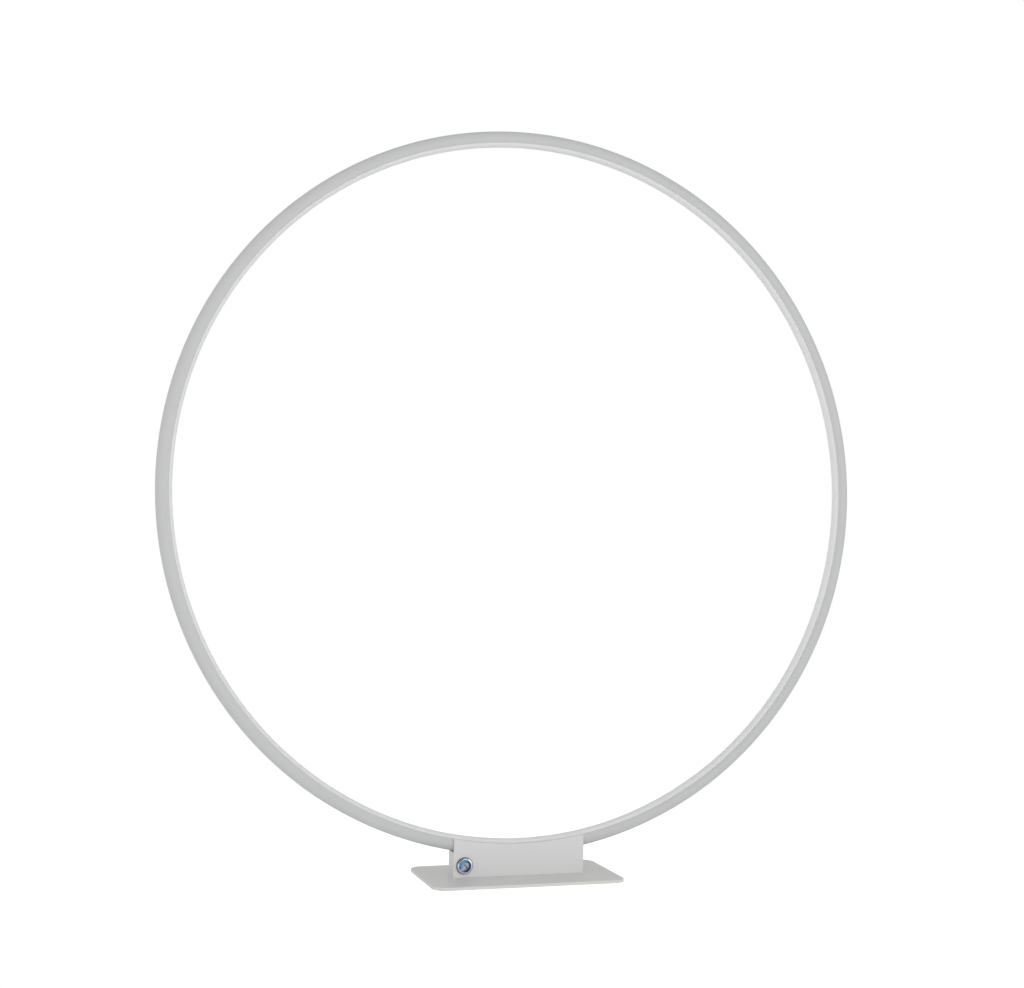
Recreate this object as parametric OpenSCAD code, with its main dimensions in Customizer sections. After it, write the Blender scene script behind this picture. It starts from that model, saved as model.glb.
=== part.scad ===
// Hoop-shaped retail security gate. A round tube bent into a ring stands on a steel base plate. A light
// cover strip closes the slot along the inside of the tube, and a slim housing at the foot hides the
// saddles, the electronics and a lit push button.
// Millimetres. The origin is the middle of the plate's underside. X runs along the hoop, the front is -Y,
// and Z is up. Angles round the hoop start at its lowest point and grow towards +X.

/* [Hoop] */
// Outside diameter of the hoop
ring_od = 1450; // [1200:10:1750]
// Outside diameter of the hoop's tube
tube_d = 32; // [26:0.5:40]
// Wall of the tube
tube_wall = 2; // [1.5:0.1:3]
// Height of the tube's underside above the plate, at the lowest point
ring_lift = 37.5; // [31:0.5:60]
// Width of the insulating break at the tube's lowest point
tube_break = 12; // [8:1:20]

/* [Cover strip] */
// Half the angle of the tube's section that the strip takes up
strip_half_angle = 51.4; // [40:0.1:54]
// Thickness of the strip
strip_t = 2.2; // [1.6:0.1:3]
// Gap between the strip's edge and the edge of the slot
strip_gap = 0.4; // [0.2:0.1:0.8]
// Thickness of the legs that snap into the slot
leg_t = 1.4; // [1:0.1:1.8]
// Length of the barbs on the legs
barb_l = 2.5; // [1.5:0.1:3]
// Gap between the two ends of the strip
strip_joint = 0.6; // [0.4:0.1:2]

/* [Winding and light] */
// Diameter of the bundle of antenna wire
winding_d = 8; // [5:0.5:9]
// Distance of the bundle from the middle of the tube, away from the slot
winding_offset = 3; // [2:0.5:4]
// Number of clips round the hoop
clip_count = 24; // [8:2:36]
// Length of a clip along the hoop
clip_l = 12; // [8:1:20]
// Width of the carrier that the light tape is stuck to
carrier_w = 16; // [10:1:17]
// Thickness of the carrier
carrier_t = 1; // [0.8:0.1:1.5]
// Width of the light tape
tape_w = 10; // [6:1:12]
// Thickness of the light tape
tape_t = 0.4; // [0.2:0.1:0.8]
// Number of lamps on the tape
lamp_count = 68; // [20:2:90]
// Side of a lamp
lamp_side = 5; // [3:0.5:6]
// Height of a lamp
lamp_h = 1.6; // [1:0.1:2]
// Half length of the insulating spigot in the tube's ends
spigot_half_l = 27; // [20:1:30]
// Wall of the spigot
spigot_wall = 3.5; // [2.5:0.5:4]

/* [Base plate] */
// Length of the plate
plate_l = 390; // [320:2:480]
// Depth of the plate
plate_w = 220; // [180:2:270]
// Thickness of the plate
plate_t = 6; // [5:0.5:10]
// Radius of the plate's corners
plate_corner_r = 26; // [5:1:30]
// Rounding of the plate's edges
plate_edge_r = 1; // [0.5:0.1:2]
// Distance between the two floor anchors
anchor_spacing = 148; // [140:1:150]
// Diameter of an anchor hole
anchor_hole_d = 9; // [8:0.5:11]
// Diameter of the way through the cable grommet
cable_bore_d = 10; // [6:0.5:11]
// Diameter of the hole that the grommet sits in
grommet_hole_d = 16; // [15:0.5:17]
// How far the cable entry lies behind the hoop's plane
grommet_y = 6; // [4:0.5:7]

/* [Housing] */
// Width of the housing
box_w = 270; // [225:1:330]
// Thickness of the housing's sheet
sheet_t = 2; // [1.5:0.1:2.5]
// Gap between the tube and the panels
panel_gap = 2; // [1.5:0.1:4]
// Outside radius of the housing's upright folds
bend_r = 3; // [2.6:0.1:5]
// How far the panels' curved edge stops below the strip's seam
edge_below_seam = 1; // [0.5:0.1:3]
// Gap between an end wall and the tube above it
end_wall_gap = 1.5; // [1:0.1:3]
// Gap between the rear cover and the pieces that it closes on
cover_gap = 0.3; // [0.2:0.1:0.5]
// Length of the feet folded in from the front panel
foot_l = 14; // [12:1:16]

/* [Saddles] */
// Distance of a saddle's middle from the middle of the gate
saddle_x = 45; // [43:0.5:48]
// Length of a saddle along the hoop
saddle_l = 24; // [18:1:26]
// Depth of a saddle
saddle_d = 28; // [24:1:29]
// How far a saddle reaches up round the tube
saddle_wrap = 6; // [3:0.5:10]
// Gap between the saddle and the tube
saddle_gap = 0.2; // [0.1:0.1:0.4]
// Length of the threaded block in the tube above each saddle
nut_block_l = 32; // [20:1:34]

/* [Boards] */
// Thickness of a circuit board
board_t = 1.6; // [1:0.1:2]
// Gap between a board and the panel in front of it
board_lift = 3.4; // [2:0.1:5]
// Width of the main board
main_board_w = 58; // [56:1:60]
// Width of the tuning board
tuning_board_w = 28; // [27:0.5:30]
// Height of a board's lower edge above the plate
board_foot = 6.5; // [6:0.5:8]
// Height left free between a board and the tube's underside
board_head = 3; // [2:0.5:6]

/* [Button] */
// Diameter of the chrome bezel
bezel_d = 32.5; // [32:0.5:41]
// Diameter of the threaded barrel
barrel_d = 28; // [27.5:0.1:30]
// Outside diameter of the light ring
light_ring_d = 23; // [22:0.5:25]
// Diameter of the cap
cap_d = 16; // [12:0.5:17]
// Travel of the cap
button_travel = 2.5; // [1:0.1:3]
// Running clearance round the cap and the plunger
button_run = 0.06; // [0.02:0.01:0.1]
// Height of the button's middle above the plate
button_lift = 22.5; // [22:0.5:26]
// Distance of the button's middle from the end of the housing
button_inset = 22; // [22:0.5:32]

/* [Hidden] */
$fn = 96;
ring_fn = 256;
fit = 0.15;                    // gap of a snug fit
thread_gap = 0.05;             // gap between a screw and its thread
bond = 0.1;                    // layer of glue under a piece that is stuck on
past = 1;                      // how far a cut runs past what it cuts

// Hoop
tube_r = tube_d / 2;
tube_in_r = tube_r - tube_wall;
ring_r = ring_od / 2 - tube_r;
ring_z = plate_t + ring_lift + ring_od / 2;
break_angle = asin(tube_break / 2 / ring_r);

// Cover strip, in the tube's section with -X towards the middle of the hoop
strip_w = tube_d * sin(strip_half_angle);
slot_half_w = strip_w / 2 + strip_gap;
barb_x = 0.35 - sqrt(tube_in_r ^ 2 - slot_half_w ^ 2);
barb_r = tube_in_r - 0.3;
seam_r = ring_r - tube_r * cos(strip_half_angle);

// Winding and light
winding_r = winding_d / 2;
clip_face_x = winding_offset - winding_r - 1;
carrier_x = clip_face_x - carrier_t;
tape_x = carrier_x - bond - tape_t;
clip_slot_w = winding_d * 0.8;
light_start_angle = 5;
lamp_start_angle = 8;
spigot_angle = asin(spigot_half_l / ring_r);
spigot_screw_angle = spigot_angle * 0.55;
lead_hole_r = 3.5;
spigot_floor_r = ring_r + tube_in_r - fit - spigot_wall;

// Housing
box_d = tube_d + 2 * (panel_gap + sheet_t);
panel_in_y = box_d / 2 - sheet_t;
edge_r = seam_r + edge_below_seam;
box_top = ring_z - sqrt(edge_r ^ 2 - (box_w / 2) ^ 2);
lip_y = sqrt(tube_r ^ 2 - (ring_r - edge_r - sheet_t) ^ 2) + cover_gap;
foot_y = -panel_in_y / 2;
foot_w = 14;
foot_x = [-box_w / 2 + button_inset, -20, 20, box_w / 2 - button_inset];
post_af = 6;
post_top_x = box_w / 2 - bend_r - post_af / sqrt(3) - 0.3;
post_top = [post_top_x, ring_z - sqrt((ring_od / 2) ^ 2 - post_top_x ^ 2) - post_af / sqrt(3) - 1.5];
post_low = [box_w / 2 - 46, plate_t + 7];
post_places = [for (side = [-1, 1], at = [post_top, post_low]) [side * at[0], at[1]]];

// Fasteners, by thread radius
m3_r = 1.5;
m4_r = 2;
m6_r = 3;
m4_nut_af = 7;
m4_nut_t = 3.2;
hole_play = 0.2;
head_sink = 0.4;

// Saddles
saddle_angle = asin(saddle_x / ring_r);
nut_block_angle = asin(nut_block_l / 2 / ring_r);
nut_block_x = winding_offset + winding_r + 1.2;
ring_screw_top = ring_z - sqrt((ring_r + nut_block_x) ^ 2 - saddle_x ^ 2);

// Cable entry
grommet_flange_r = grommet_hole_d / 2 + 2.5;
grommet_flange_t = 2.5;
grommet_recess = 2;

// Boards stand on edge behind the front panel, with their parts towards the rear cover
board_y = board_lift + board_t - panel_in_y;
board_h = ring_lift - board_foot - board_head;
board_z = plate_t + board_foot;
board_top = board_z + board_h;
board_hole_inset = 2.8;
tuning_x = box_w / 2 - 27;
standoff_r = 2.75;
main_holes = [
  for (x = [-1, 1], z = [board_z + board_hole_inset, board_top - board_hole_inset])
    [x * (main_board_w / 2 - board_hole_inset), z]
];
tuning_holes = [
  for (x = [-1, 1], z = [board_z + board_hole_inset, board_top - board_hole_inset])
    [tuning_x + x * (tuning_board_w / 2 - board_hole_inset), z]
];
terminal_pitch = 5;
lead_block = [4, 0, board_top - 10.5];       // ways, middle in X, foot in Z
power_block = [3, 11, board_z + 1];
terminal_size = 9;
chip_z = board_top - 9.5;
small_chip = [7, 4];
can_z = board_z + 2;
can_top = chip_z - small_chip[1] - 0.5;
trimmer_side = 8;
trimmer_h = 6;
trimmer_place = [tuning_x + 4, board_top - 2 - trimmer_side / 2];
buzzer_margin = 2.5;         // above and below the buzzer
buzzer_r = (board_h - 2 - trimmer_side) / 2 - buzzer_margin;
buzzer_h = 9;
buzzer_place = [tuning_x + 4, board_z + buzzer_margin + buzzer_r];
rotor_r = 3;
rotor_run = 0.05;
rotor_seat = 3;
connector_size = [4, 6, 10];
main_connector_x = main_board_w / 2 - 3.5;
tuning_connector_x = tuning_x - tuning_board_w / 2 + 3;
connector_z = board_z + board_h / 2;

// Button, on an axis along Y
button_x = button_inset - box_w / 2;
button_z = plate_t + button_lift;
gasket_t = 1;
bezel_t = 3.6;
bezel_round = 1.8;
panel_y = -box_d / 2;
bezel_back = panel_y - gasket_t;
bezel_front = bezel_back - bezel_t;
barrel_back = bezel_back + 15;
bezel_bore_r = light_ring_d / 2 + fit;
button_nut_af = barrel_d + 5;
button_nut_t = 5;
ring_front = bezel_front + 0.6;
ring_back = ring_front + 8;
cap_front = bezel_front - 0.4;
cap_dome_r = 40;
cap_flange_r = cap_d / 2 + 1.5;
cap_back = ring_back + fit + 1.5;
lamp_board_front = ring_back + 0.8;
lamp_board_t = 0.8;
housing_front = lamp_board_front + lamp_board_t;
housing_floor = housing_front + 8.4;
housing_floor_t = 2;
housing_back = housing_floor + 11;
plunger_r = 3;
plunger_tip = housing_floor + housing_floor_t + 1;
bridge_t = 0.6;
bridge_r = 5.5;
contact_y = plunger_tip + bridge_t + button_travel + 0.05;
base_front = housing_back - 2;
base_back = housing_back + 3;
terminal_x = 4;
terminal_end = base_back + 5;
spring_wire_r = 0.4;
spring_r = 5;
spring_turns = 4;

// Cables inside the housing: the points that each one passes, chosen by hand
loom_r = 1.3;
loom_y = (saddle_d / 2 + panel_in_y) / 2;
loom_z = post_low[1] + 7.5;
saddle_end = saddle_x - saddle_l / 2 - 3;
connector_face = board_y + connector_size[1] + fit;
loom_left_points = [
  [button_x, terminal_end + fit, button_z],
  [button_x + 8, loom_y - 0.5, button_z - 2],
  [-post_low[0], loom_y, loom_z],
  [-saddle_x, loom_y, loom_z],
  [-saddle_end, loom_y - 0.5, loom_z],
  [-main_connector_x, 8, connector_z - 5],
  [-main_connector_x, 1, connector_z],
  [-main_connector_x, connector_face, connector_z]
];
loom_right_points = [
  [main_connector_x, connector_face, connector_z],
  [main_connector_x, 1, connector_z],
  [main_connector_x, 8, connector_z - 5],
  [saddle_end, loom_y - 0.5, loom_z],
  [saddle_x, loom_y, loom_z],
  [post_low[0] - 6, loom_y - 0.5, loom_z],
  [post_low[0] + 3, 10, loom_z + 2],
  [tuning_connector_x, 1, connector_z],
  [tuning_connector_x, connector_face, connector_z]
];
lead_r = 1;
lead_points = [
  [0, 0, ring_z - ring_r - winding_offset - winding_r - fit],
  [0, 0, plate_t + ring_lift],
  [0, board_y + terminal_size / 2, board_top + 2],
  [0, board_y + terminal_size / 2, lead_block[2] + terminal_size + fit]
];

// ---- Shapes that repeat ----

// Rectangle with round corners, made of true arcs
module rounded_rect(w, d, r) {
  square([w - 2 * r, d], center = true);
  square([w, d - 2 * r], center = true);
  for (x = [-1, 1], y = [-1, 1])
    translate([x * (w / 2 - r), y * (d / 2 - r)]) circle(r);
}

// Slab with round corners and a round top edge
module rounded_slab(w, d, t, corner_r, edge_r) {
  linear_extrude(t - edge_r) rounded_rect(w, d, corner_r);
  linear_extrude(t) rounded_rect(w - 2 * edge_r, d - 2 * edge_r, corner_r - edge_r);
  for (side = [-1, 1]) {
    translate([0, side * (d / 2 - edge_r), t - edge_r])
      rotate([0, 90, 0]) cylinder(r = edge_r, h = w - 2 * corner_r, center = true);
    translate([side * (w / 2 - edge_r), 0, t - edge_r])
      rotate([90, 0, 0]) cylinder(r = edge_r, h = d - 2 * corner_r, center = true);
  }
  for (x = [-1, 1], y = [-1, 1])
    translate([x * (w / 2 - corner_r), y * (d / 2 - corner_r), t - edge_r])
      rotate_extrude() translate([corner_r - edge_r, 0]) circle(edge_r);
}

// A section carried round the hoop from one angle to another
module ring_arc(from, to) {
  translate([0, 0, ring_z]) rotate([90, 0, 0]) rotate([0, 0, from - 90])
    rotate_extrude(angle = to - from, $fn = ring_fn) translate([ring_r, 0]) children();
}

// A disc about the hoop's own axis, from one Y to another
module ring_disc(r, y0, y1) {
  translate([0, y1, ring_z]) rotate([90, 0, 0]) cylinder(r = r, h = y1 - y0, $fn = ring_fn);
}

// Places children with +Z pointing out of the hoop at an angle
module radial(angle) {
  translate([0, 0, ring_z]) rotate([0, 180 - angle, 0]) children();
}

// Places children with +Z along the gate's +Y
module along_y(x, z) {
  translate([x, 0, z]) rotate([-90, 0, 0]) children();
}

// A tube between two places on the along_y axis
module sleeve(r_out, r_in, y0, y1) {
  translate([0, 0, y0]) difference() {
    cylinder(r = r_out, h = y1 - y0);
    translate([0, 0, -past]) cylinder(r = r_in, h = y1 - y0 + 2 * past);
  }
}

// Six-sided bar by its width across flats
module hex_bar(af, h) {
  cylinder(r = af / sqrt(3), h = h, $fn = 6);
}

// Countersunk screw that stands on its head
module countersunk_screw(r, head_r, length) {
  difference() {
    union() {
      cylinder(r = r - thread_gap, h = length);
      cylinder(r1 = head_r, r2 = r - thread_gap, h = head_r - r + thread_gap);
    }
    translate([0, 0, -past]) hex_bar(head_r * 0.75, past + head_r * 0.35);
  }
}

// The hole that takes such a screw
module countersunk_hole(r, head_r, depth) {
  translate([0, 0, -past]) cylinder(r = r + hole_play, h = depth + 2 * past);
  translate([0, 0, -past]) cylinder(r = head_r + hole_play, h = past + head_sink);
  translate([0, 0, head_sink])
    cylinder(r1 = head_r + hole_play, r2 = r + hole_play, h = head_r - r);
}

// Round-headed screw: the head stands out on -Z and the shank runs along +Z
module round_screw(r, head_r, head_h, length) {
  difference() {
    translate([0, 0, -head_h]) cylinder(r = head_r, h = head_h);
    translate([0, 0, -head_h - past]) hex_bar(head_r * 0.8, past + head_h * 0.6);
  }
  cylinder(r = r - thread_gap, h = length);
}

// Points on a smooth curve through the given points
function curve_at(p0, p1, p2, p3, t) =
  0.5 * (2 * p1 + t * (p2 - p0) + t ^ 2 * (2 * p0 - 5 * p1 + 4 * p2 - p3)
    + t ^ 3 * (3 * p1 - p0 - 3 * p2 + p3));
function smooth_path(p, steps) = [
  for (i = [0 : len(p) - 2], k = [0 : steps - (i < len(p) - 2 ? 1 : 0)])
    curve_at(p[max(i - 1, 0)], p[i], p[i + 1], p[min(i + 2, len(p) - 1)], k / steps)
];

// Round wire swept along points; side_way is never along the wire
module wire(points, r, side_way, sides = 8) {
  n = len(points);
  rings = [
    for (i = [0 : n - 1])
      let (
        ahead = points[min(i + 1, n - 1)] - points[max(i - 1, 0)],
        way = ahead / norm(ahead),
        across = cross(way, side_way) / norm(cross(way, side_way)),
        up = cross(across, way)
      )
      for (k = [0 : sides - 1])
        points[i] + r * (cos(360 * k / sides) * across + sin(360 * k / sides) * up)
  ];
  walls = [
    for (i = [0 : n - 2], k = [0 : sides - 1])
      let (next = (k + 1) % sides)
      [i * sides + k, i * sides + next, (i + 1) * sides + next, (i + 1) * sides + k]
  ];
  start = [for (k = [sides - 1 : -1 : 0]) k];
  end = [for (k = [0 : sides - 1]) (n - 1) * sides + k];
  polyhedron(points = rings, faces = concat([start], walls, [end]), convexity = 10);
}

// ---- Base plate ----

module base_plate() {
  color([0.62, 0.62, 0.6]) difference() {
    rounded_slab(plate_l, plate_w, plate_t, plate_corner_r, plate_edge_r);
    for (side = [-1, 1]) {
      translate([side * anchor_spacing / 2, 0, -past])
        cylinder(d = anchor_hole_d, h = plate_t + 2 * past);
      translate([side * saddle_x, 0, 0]) countersunk_hole(m6_r, 2 * m6_r, plate_t);
    }
    for (x = foot_x) translate([x, foot_y, 0]) countersunk_hole(m4_r, 2 * m4_r, plate_t);
    translate([0, grommet_y, -past]) cylinder(d = grommet_hole_d, h = plate_t + 2 * past);
    translate([0, grommet_y, -past])
      cylinder(r = grommet_flange_r + hole_play, h = past + grommet_recess + fit);
  }
}

module cable_grommet() {
  color([0.12, 0.12, 0.12]) translate([0, grommet_y, 0]) difference() {
    union() {
      translate([0, 0, head_sink]) cylinder(r = grommet_flange_r, h = grommet_recess - head_sink);
      translate([0, 0, head_sink]) cylinder(r = grommet_hole_d / 2 - fit, h = plate_t);
      translate([0, 0, plate_t]) cylinder(r = grommet_flange_r, h = grommet_flange_t);
    }
    translate([0, 0, -past])
      cylinder(d = cable_bore_d, h = plate_t + grommet_flange_t + 2 * past);
  }
}

// ---- Hoop ----

module tube_section() {
  difference() {
    circle(tube_r);
    circle(tube_in_r);
    translate([-tube_d, -slot_half_w]) square([tube_d, 2 * slot_half_w]);
  }
}

module ring_tube() {
  color([0.78, 0.79, 0.79]) difference() {
    ring_arc(break_angle, 360 - break_angle) tube_section();
    for (side = [-1, 1]) {
      translate([side * saddle_x, 0, ring_screw_top - tube_r])
        cylinder(r = m6_r + hole_play, h = tube_r);
      radial(side * spigot_screw_angle) translate([0, 0, ring_r + tube_in_r - past])
        cylinder(r = m3_r + hole_play, h = tube_wall + 2 * past);
    }
  }
}

module strip_section() {
  intersection() {
    difference() {
      circle(tube_r);
      circle(tube_r - strip_t);
    }
    translate([-tube_d, -strip_w / 2]) square([tube_d, strip_w]);
  }
  for (side = [-1, 1]) scale([1, side]) {
    translate([barb_x - leg_t, strip_w / 2 - leg_t]) square([leg_t + barb_l, leg_t]);
    intersection() {
      circle(barb_r);
      translate([barb_x, strip_w / 2 - leg_t]) square([barb_l, tube_r]);
    }
  }
}

module cover_strip() {
  joint_angle = asin(strip_joint / 2 / ring_r);
  color([0.88, 0.89, 0.89]) ring_arc(joint_angle, 360 - joint_angle) strip_section();
}

module antenna_winding() {
  color([0.72, 0.42, 0.2]) translate([0, 0, ring_z]) rotate([90, 0, 0])
    rotate_extrude($fn = ring_fn) translate([ring_r + winding_offset, 0]) circle(winding_r);
}

module clip_section() {
  difference() {
    intersection() {
      circle(tube_in_r - fit);
      translate([clip_face_x, -tube_r]) square([tube_d, tube_d]);
    }
    translate([winding_offset, 0]) circle(winding_r + fit);
    translate([-tube_d + winding_offset, -clip_slot_w / 2]) square([tube_d, clip_slot_w]);
  }
}

module winding_clips() {
  half_angle = asin(clip_l / 2 / ring_r);
  color([0.15, 0.15, 0.16]) for (i = [0 : clip_count - 1]) {
    at = (i + 0.5) * 360 / clip_count;
    ring_arc(at - half_angle, at + half_angle) clip_section();
  }
}

module light_carrier() {
  color([0.75, 0.75, 0.76]) ring_arc(light_start_angle, 360 - light_start_angle)
    translate([carrier_x, -carrier_w / 2]) square([carrier_t, carrier_w]);
}

module light_tape() {
  color([0.9, 0.9, 0.85]) ring_arc(light_start_angle + 0.5, 359.5 - light_start_angle)
    translate([tape_x, -tape_w / 2]) square([tape_t, tape_w]);
}

module tape_lamps() {
  step = (360 - 2 * lamp_start_angle) / (lamp_count - 1);
  color([0.95, 0.85, 0.5]) for (i = [0 : lamp_count - 1])
    radial(lamp_start_angle + i * step) translate([0, 0, ring_r + tape_x - lamp_h / 2 - bond])
      cube([lamp_side, lamp_side, lamp_h], center = true);
}

module joint_spigot() {
  outer_r = tube_in_r - fit;
  color([0.9, 0.88, 0.8]) difference() {
    ring_arc(-spigot_angle, spigot_angle) difference() {
      circle(outer_r);
      circle(outer_r - spigot_wall);
      translate([-tube_d + clip_face_x, -tube_r]) square([tube_d, tube_d]);
    }
    for (side = [-1, 1]) radial(side * spigot_screw_angle)
      translate([0, 0, ring_r]) cylinder(r = m3_r, h = tube_d);
    radial(0) translate([0, 0, ring_r]) cylinder(r = lead_hole_r, h = tube_d);
  }
}

module spigot_screws() {
  color([0.6, 0.6, 0.62]) for (side = [-1, 1]) radial(side * spigot_screw_angle)
    translate([0, 0, ring_r + tube_r + thread_gap]) rotate([180, 0, 0])
      round_screw(m3_r, 2.75, 1.6, tube_wall + spigot_wall - fit);
}

// ---- Saddles ----

module saddle(side) {
  color([0.35, 0.36, 0.38]) difference() {
    translate([side * saddle_x, 0, plate_t])
      linear_extrude(ring_lift + saddle_wrap) rounded_rect(saddle_l, saddle_d, 3);
    translate([0, 0, ring_z]) rotate([90, 0, 0])
      rotate_extrude($fn = ring_fn) translate([ring_r, 0]) circle(tube_r + saddle_gap);
    translate([side * saddle_x, 0, 0]) cylinder(r = m6_r + hole_play, h = ring_z - ring_r);
  }
}

module saddle_left() {
  saddle(-1);
}

module saddle_right() {
  saddle(1);
}

module ring_screws() {
  color([0.6, 0.6, 0.62]) for (side = [-1, 1]) translate([side * saddle_x, 0, head_sink])
    countersunk_screw(m6_r, 2 * m6_r, ring_screw_top - head_sink);
}

module ring_nut_blocks() {
  color([0.5, 0.5, 0.52]) difference() {
    for (side = [-1, 1])
      ring_arc(side * saddle_angle - nut_block_angle, side * saddle_angle + nut_block_angle)
        intersection() {
          circle(tube_in_r - fit);
          translate([nut_block_x, -tube_r]) square([tube_r, tube_d]);
        }
    for (side = [-1, 1]) translate([side * saddle_x, 0, 0]) cylinder(r = m6_r, h = ring_z - ring_r);
  }
}

// ---- Housing ----

// The curved lip that closes a panel's top edge towards the tube, for the front panel
module top_lip() {
  intersection() {
    difference() {
      ring_disc(edge_r + sheet_t, -box_d / 2, -lip_y);
      ring_disc(edge_r, -box_d / 2 - past, -lip_y + past);
    }
    translate([0, 0, ring_z / 4]) cube([box_w, 2 * box_d, ring_z / 2], center = true);
  }
}

module housing_shell() {
  color([0.8, 0.81, 0.81]) difference() {
    union() {
      difference() {
        translate([0, 0, plate_t]) linear_extrude(box_top - plate_t) difference() {
          rounded_rect(box_w, box_d, bend_r);
          rounded_rect(box_w - 2 * sheet_t, box_d - 2 * sheet_t, bend_r - sheet_t);
          translate([-box_w, panel_in_y - cover_gap]) square([2 * box_w, box_d]);
        }
        ring_disc(edge_r, -box_d, box_d);
        ring_disc(ring_r + tube_r + end_wall_gap, fit - panel_in_y, box_d);
      }
      top_lip();
      for (x = foot_x) translate([x - foot_w / 2, -panel_in_y - sheet_t / 2, plate_t])
        cube([foot_w, foot_l + sheet_t / 2, sheet_t]);
    }
    for (x = foot_x) translate([x, foot_y, 0]) cylinder(r = m4_r + hole_play, h = plate_t + 2 * sheet_t);
    along_y(button_x, button_z) translate([0, 0, -box_d])
      cylinder(r = barrel_d / 2 + hole_play, h = box_d);
  }
}

module shell_screws() {
  color([0.6, 0.6, 0.62]) for (x = foot_x) translate([x, foot_y, head_sink])
    countersunk_screw(m4_r, 2 * m4_r, plate_t + sheet_t + m4_nut_t + head_sink);
}

module shell_nuts() {
  color([0.65, 0.65, 0.66]) for (x = foot_x) translate([x, foot_y, plate_t + sheet_t]) difference() {
    hex_bar(m4_nut_af, m4_nut_t);
    translate([0, 0, -past]) cylinder(r = m4_r, h = m4_nut_t + 2 * past);
  }
}

module rear_cover() {
  sound_rows = [for (i = [0 : 5]) [cos(60 * i), sin(60 * i)]];
  color([0.76, 0.77, 0.77]) difference() {
    union() {
      difference() {
        translate([0, 0, plate_t + cover_gap]) linear_extrude(box_top - plate_t - cover_gap)
          intersection() {
            rounded_rect(box_w, box_d, bend_r);
            translate([-box_w, panel_in_y]) square([2 * box_w, box_d]);
          }
        ring_disc(edge_r, -box_d, box_d);
      }
      mirror([0, 1, 0]) top_lip();
    }
    for (at = post_places) along_y(at[0], at[1]) cylinder(r = m3_r + hole_play, h = box_d);
    along_y(buzzer_place[0], buzzer_place[1]) {
      cylinder(r = 1, h = box_d);
      for (way = sound_rows) translate([way[0] * 4, way[1] * 4, 0]) cylinder(r = 1, h = box_d);
    }
  }
}

module cover_posts() {
  thread_depth = 12;
  color([0.7, 0.68, 0.6]) for (at = post_places) along_y(at[0], at[1]) difference() {
    translate([0, 0, -panel_in_y]) hex_bar(post_af, 2 * panel_in_y);
    translate([0, 0, panel_in_y - thread_depth]) cylinder(r = m3_r, h = thread_depth + past);
  }
}

module cover_screws() {
  color([0.6, 0.6, 0.62]) for (at = post_places) along_y(at[0], at[1])
    translate([0, 0, box_d / 2]) rotate([180, 0, 0]) round_screw(m3_r, 2.75, 1.7, sheet_t + 8);
}

// ---- Boards ----

// A board that stands on edge, its front face towards the panel
module board(x, w, holes) {
  difference() {
    translate([x - w / 2, board_y - board_t, board_z]) cube([w, board_t, board_h]);
    for (at = holes) along_y(at[0], at[1])
      translate([0, 0, -box_d]) cylinder(r = m3_r + hole_play, h = 2 * box_d);
  }
}

// A box that stands on a board's rear face, by its middle in X and its foot in Z
module on_board(x, z, w, h, stand) {
  translate([x - w / 2, board_y, z]) cube([w, stand, h]);
}

module main_board() {
  color([0.1, 0.35, 0.2]) board(0, main_board_w, main_holes);
}

module shield_can() {
  wall = 0.4;
  size = [18, 5, can_top - can_z];
  at = [-12, can_z];
  color([0.75, 0.75, 0.74]) difference() {
    on_board(at[0], at[1], size[0], size[2], size[1]);
    translate([at[0] - size[0] / 2 + wall, board_y - past, at[1] + wall])
      cube([size[0] - 2 * wall, size[1] - wall + past, size[2] - 2 * wall]);
  }
}

module board_chips() {
  chips = [
    [-16, chip_z, 8, 8], [16, board_top - 8.5, 7, 7], [-16, can_top + 0.25, small_chip[0], small_chip[1]]
  ];
  color([0.08, 0.08, 0.09]) for (c = chips) on_board(c[0], c[1], c[2], c[3], 1.4);
}

module terminal_blocks() {
  color([0.1, 0.4, 0.25]) for (b = [lead_block, power_block]) difference() {
    on_board(b[1], b[2], b[0] * terminal_pitch, terminal_size, terminal_size);
    for (i = [0 : b[0] - 1]) along_y(b[1] + (i - (b[0] - 1) / 2) * terminal_pitch, b[2] + terminal_size / 2)
      translate([0, 0, board_y + terminal_size - 3]) cylinder(r = 1.9, h = 3 + past);
  }
}

module terminal_screws() {
  color([0.7, 0.7, 0.7]) for (b = [lead_block, power_block], i = [0 : b[0] - 1])
    along_y(b[1] + (i - (b[0] - 1) / 2) * terminal_pitch, b[2] + terminal_size / 2)
      translate([0, 0, board_y + terminal_size - 3]) difference() {
        cylinder(r = 1.8, h = 2.5);
        translate([-2, -0.25, 1.7]) cube([4, 0.5, past]);
      }
}

module winding_leads() {
  color([0.7, 0.15, 0.12]) for (side = [-1, 1]) translate([side * (lead_r + 0.4), 0, 0])
    wire(smooth_path(lead_points, 6), lead_r, [1, 0, 0]);
}

module tuning_board() {
  color([0.1, 0.35, 0.2]) board(tuning_x, tuning_board_w, tuning_holes);
}

module tuning_capacitors() {
  color([0.75, 0.5, 0.15]) for (i = [0 : 1])
    on_board(tuning_x - 2 - i * 4, board_top - 10, 3, 8, 6);
}

module trimmer_body() {
  color([0.2, 0.35, 0.6]) difference() {
    on_board(trimmer_place[0], trimmer_place[1] - trimmer_side / 2, trimmer_side, trimmer_side, trimmer_h);
    along_y(trimmer_place[0], trimmer_place[1])
      translate([0, 0, board_y + rotor_seat]) cylinder(r = rotor_r + rotor_run, h = trimmer_h);
  }
}

module trimmer_rotor() {
  rotor_h = trimmer_h - rotor_seat;
  color([0.85, 0.8, 0.6]) along_y(trimmer_place[0], trimmer_place[1])
    translate([0, 0, board_y + rotor_seat + rotor_run]) difference() {
      cylinder(r = rotor_r, h = rotor_h);
      translate([-rotor_r - past, -0.4, rotor_h - 0.8]) cube([2 * (rotor_r + past), 0.8, past]);
    }
}

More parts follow.
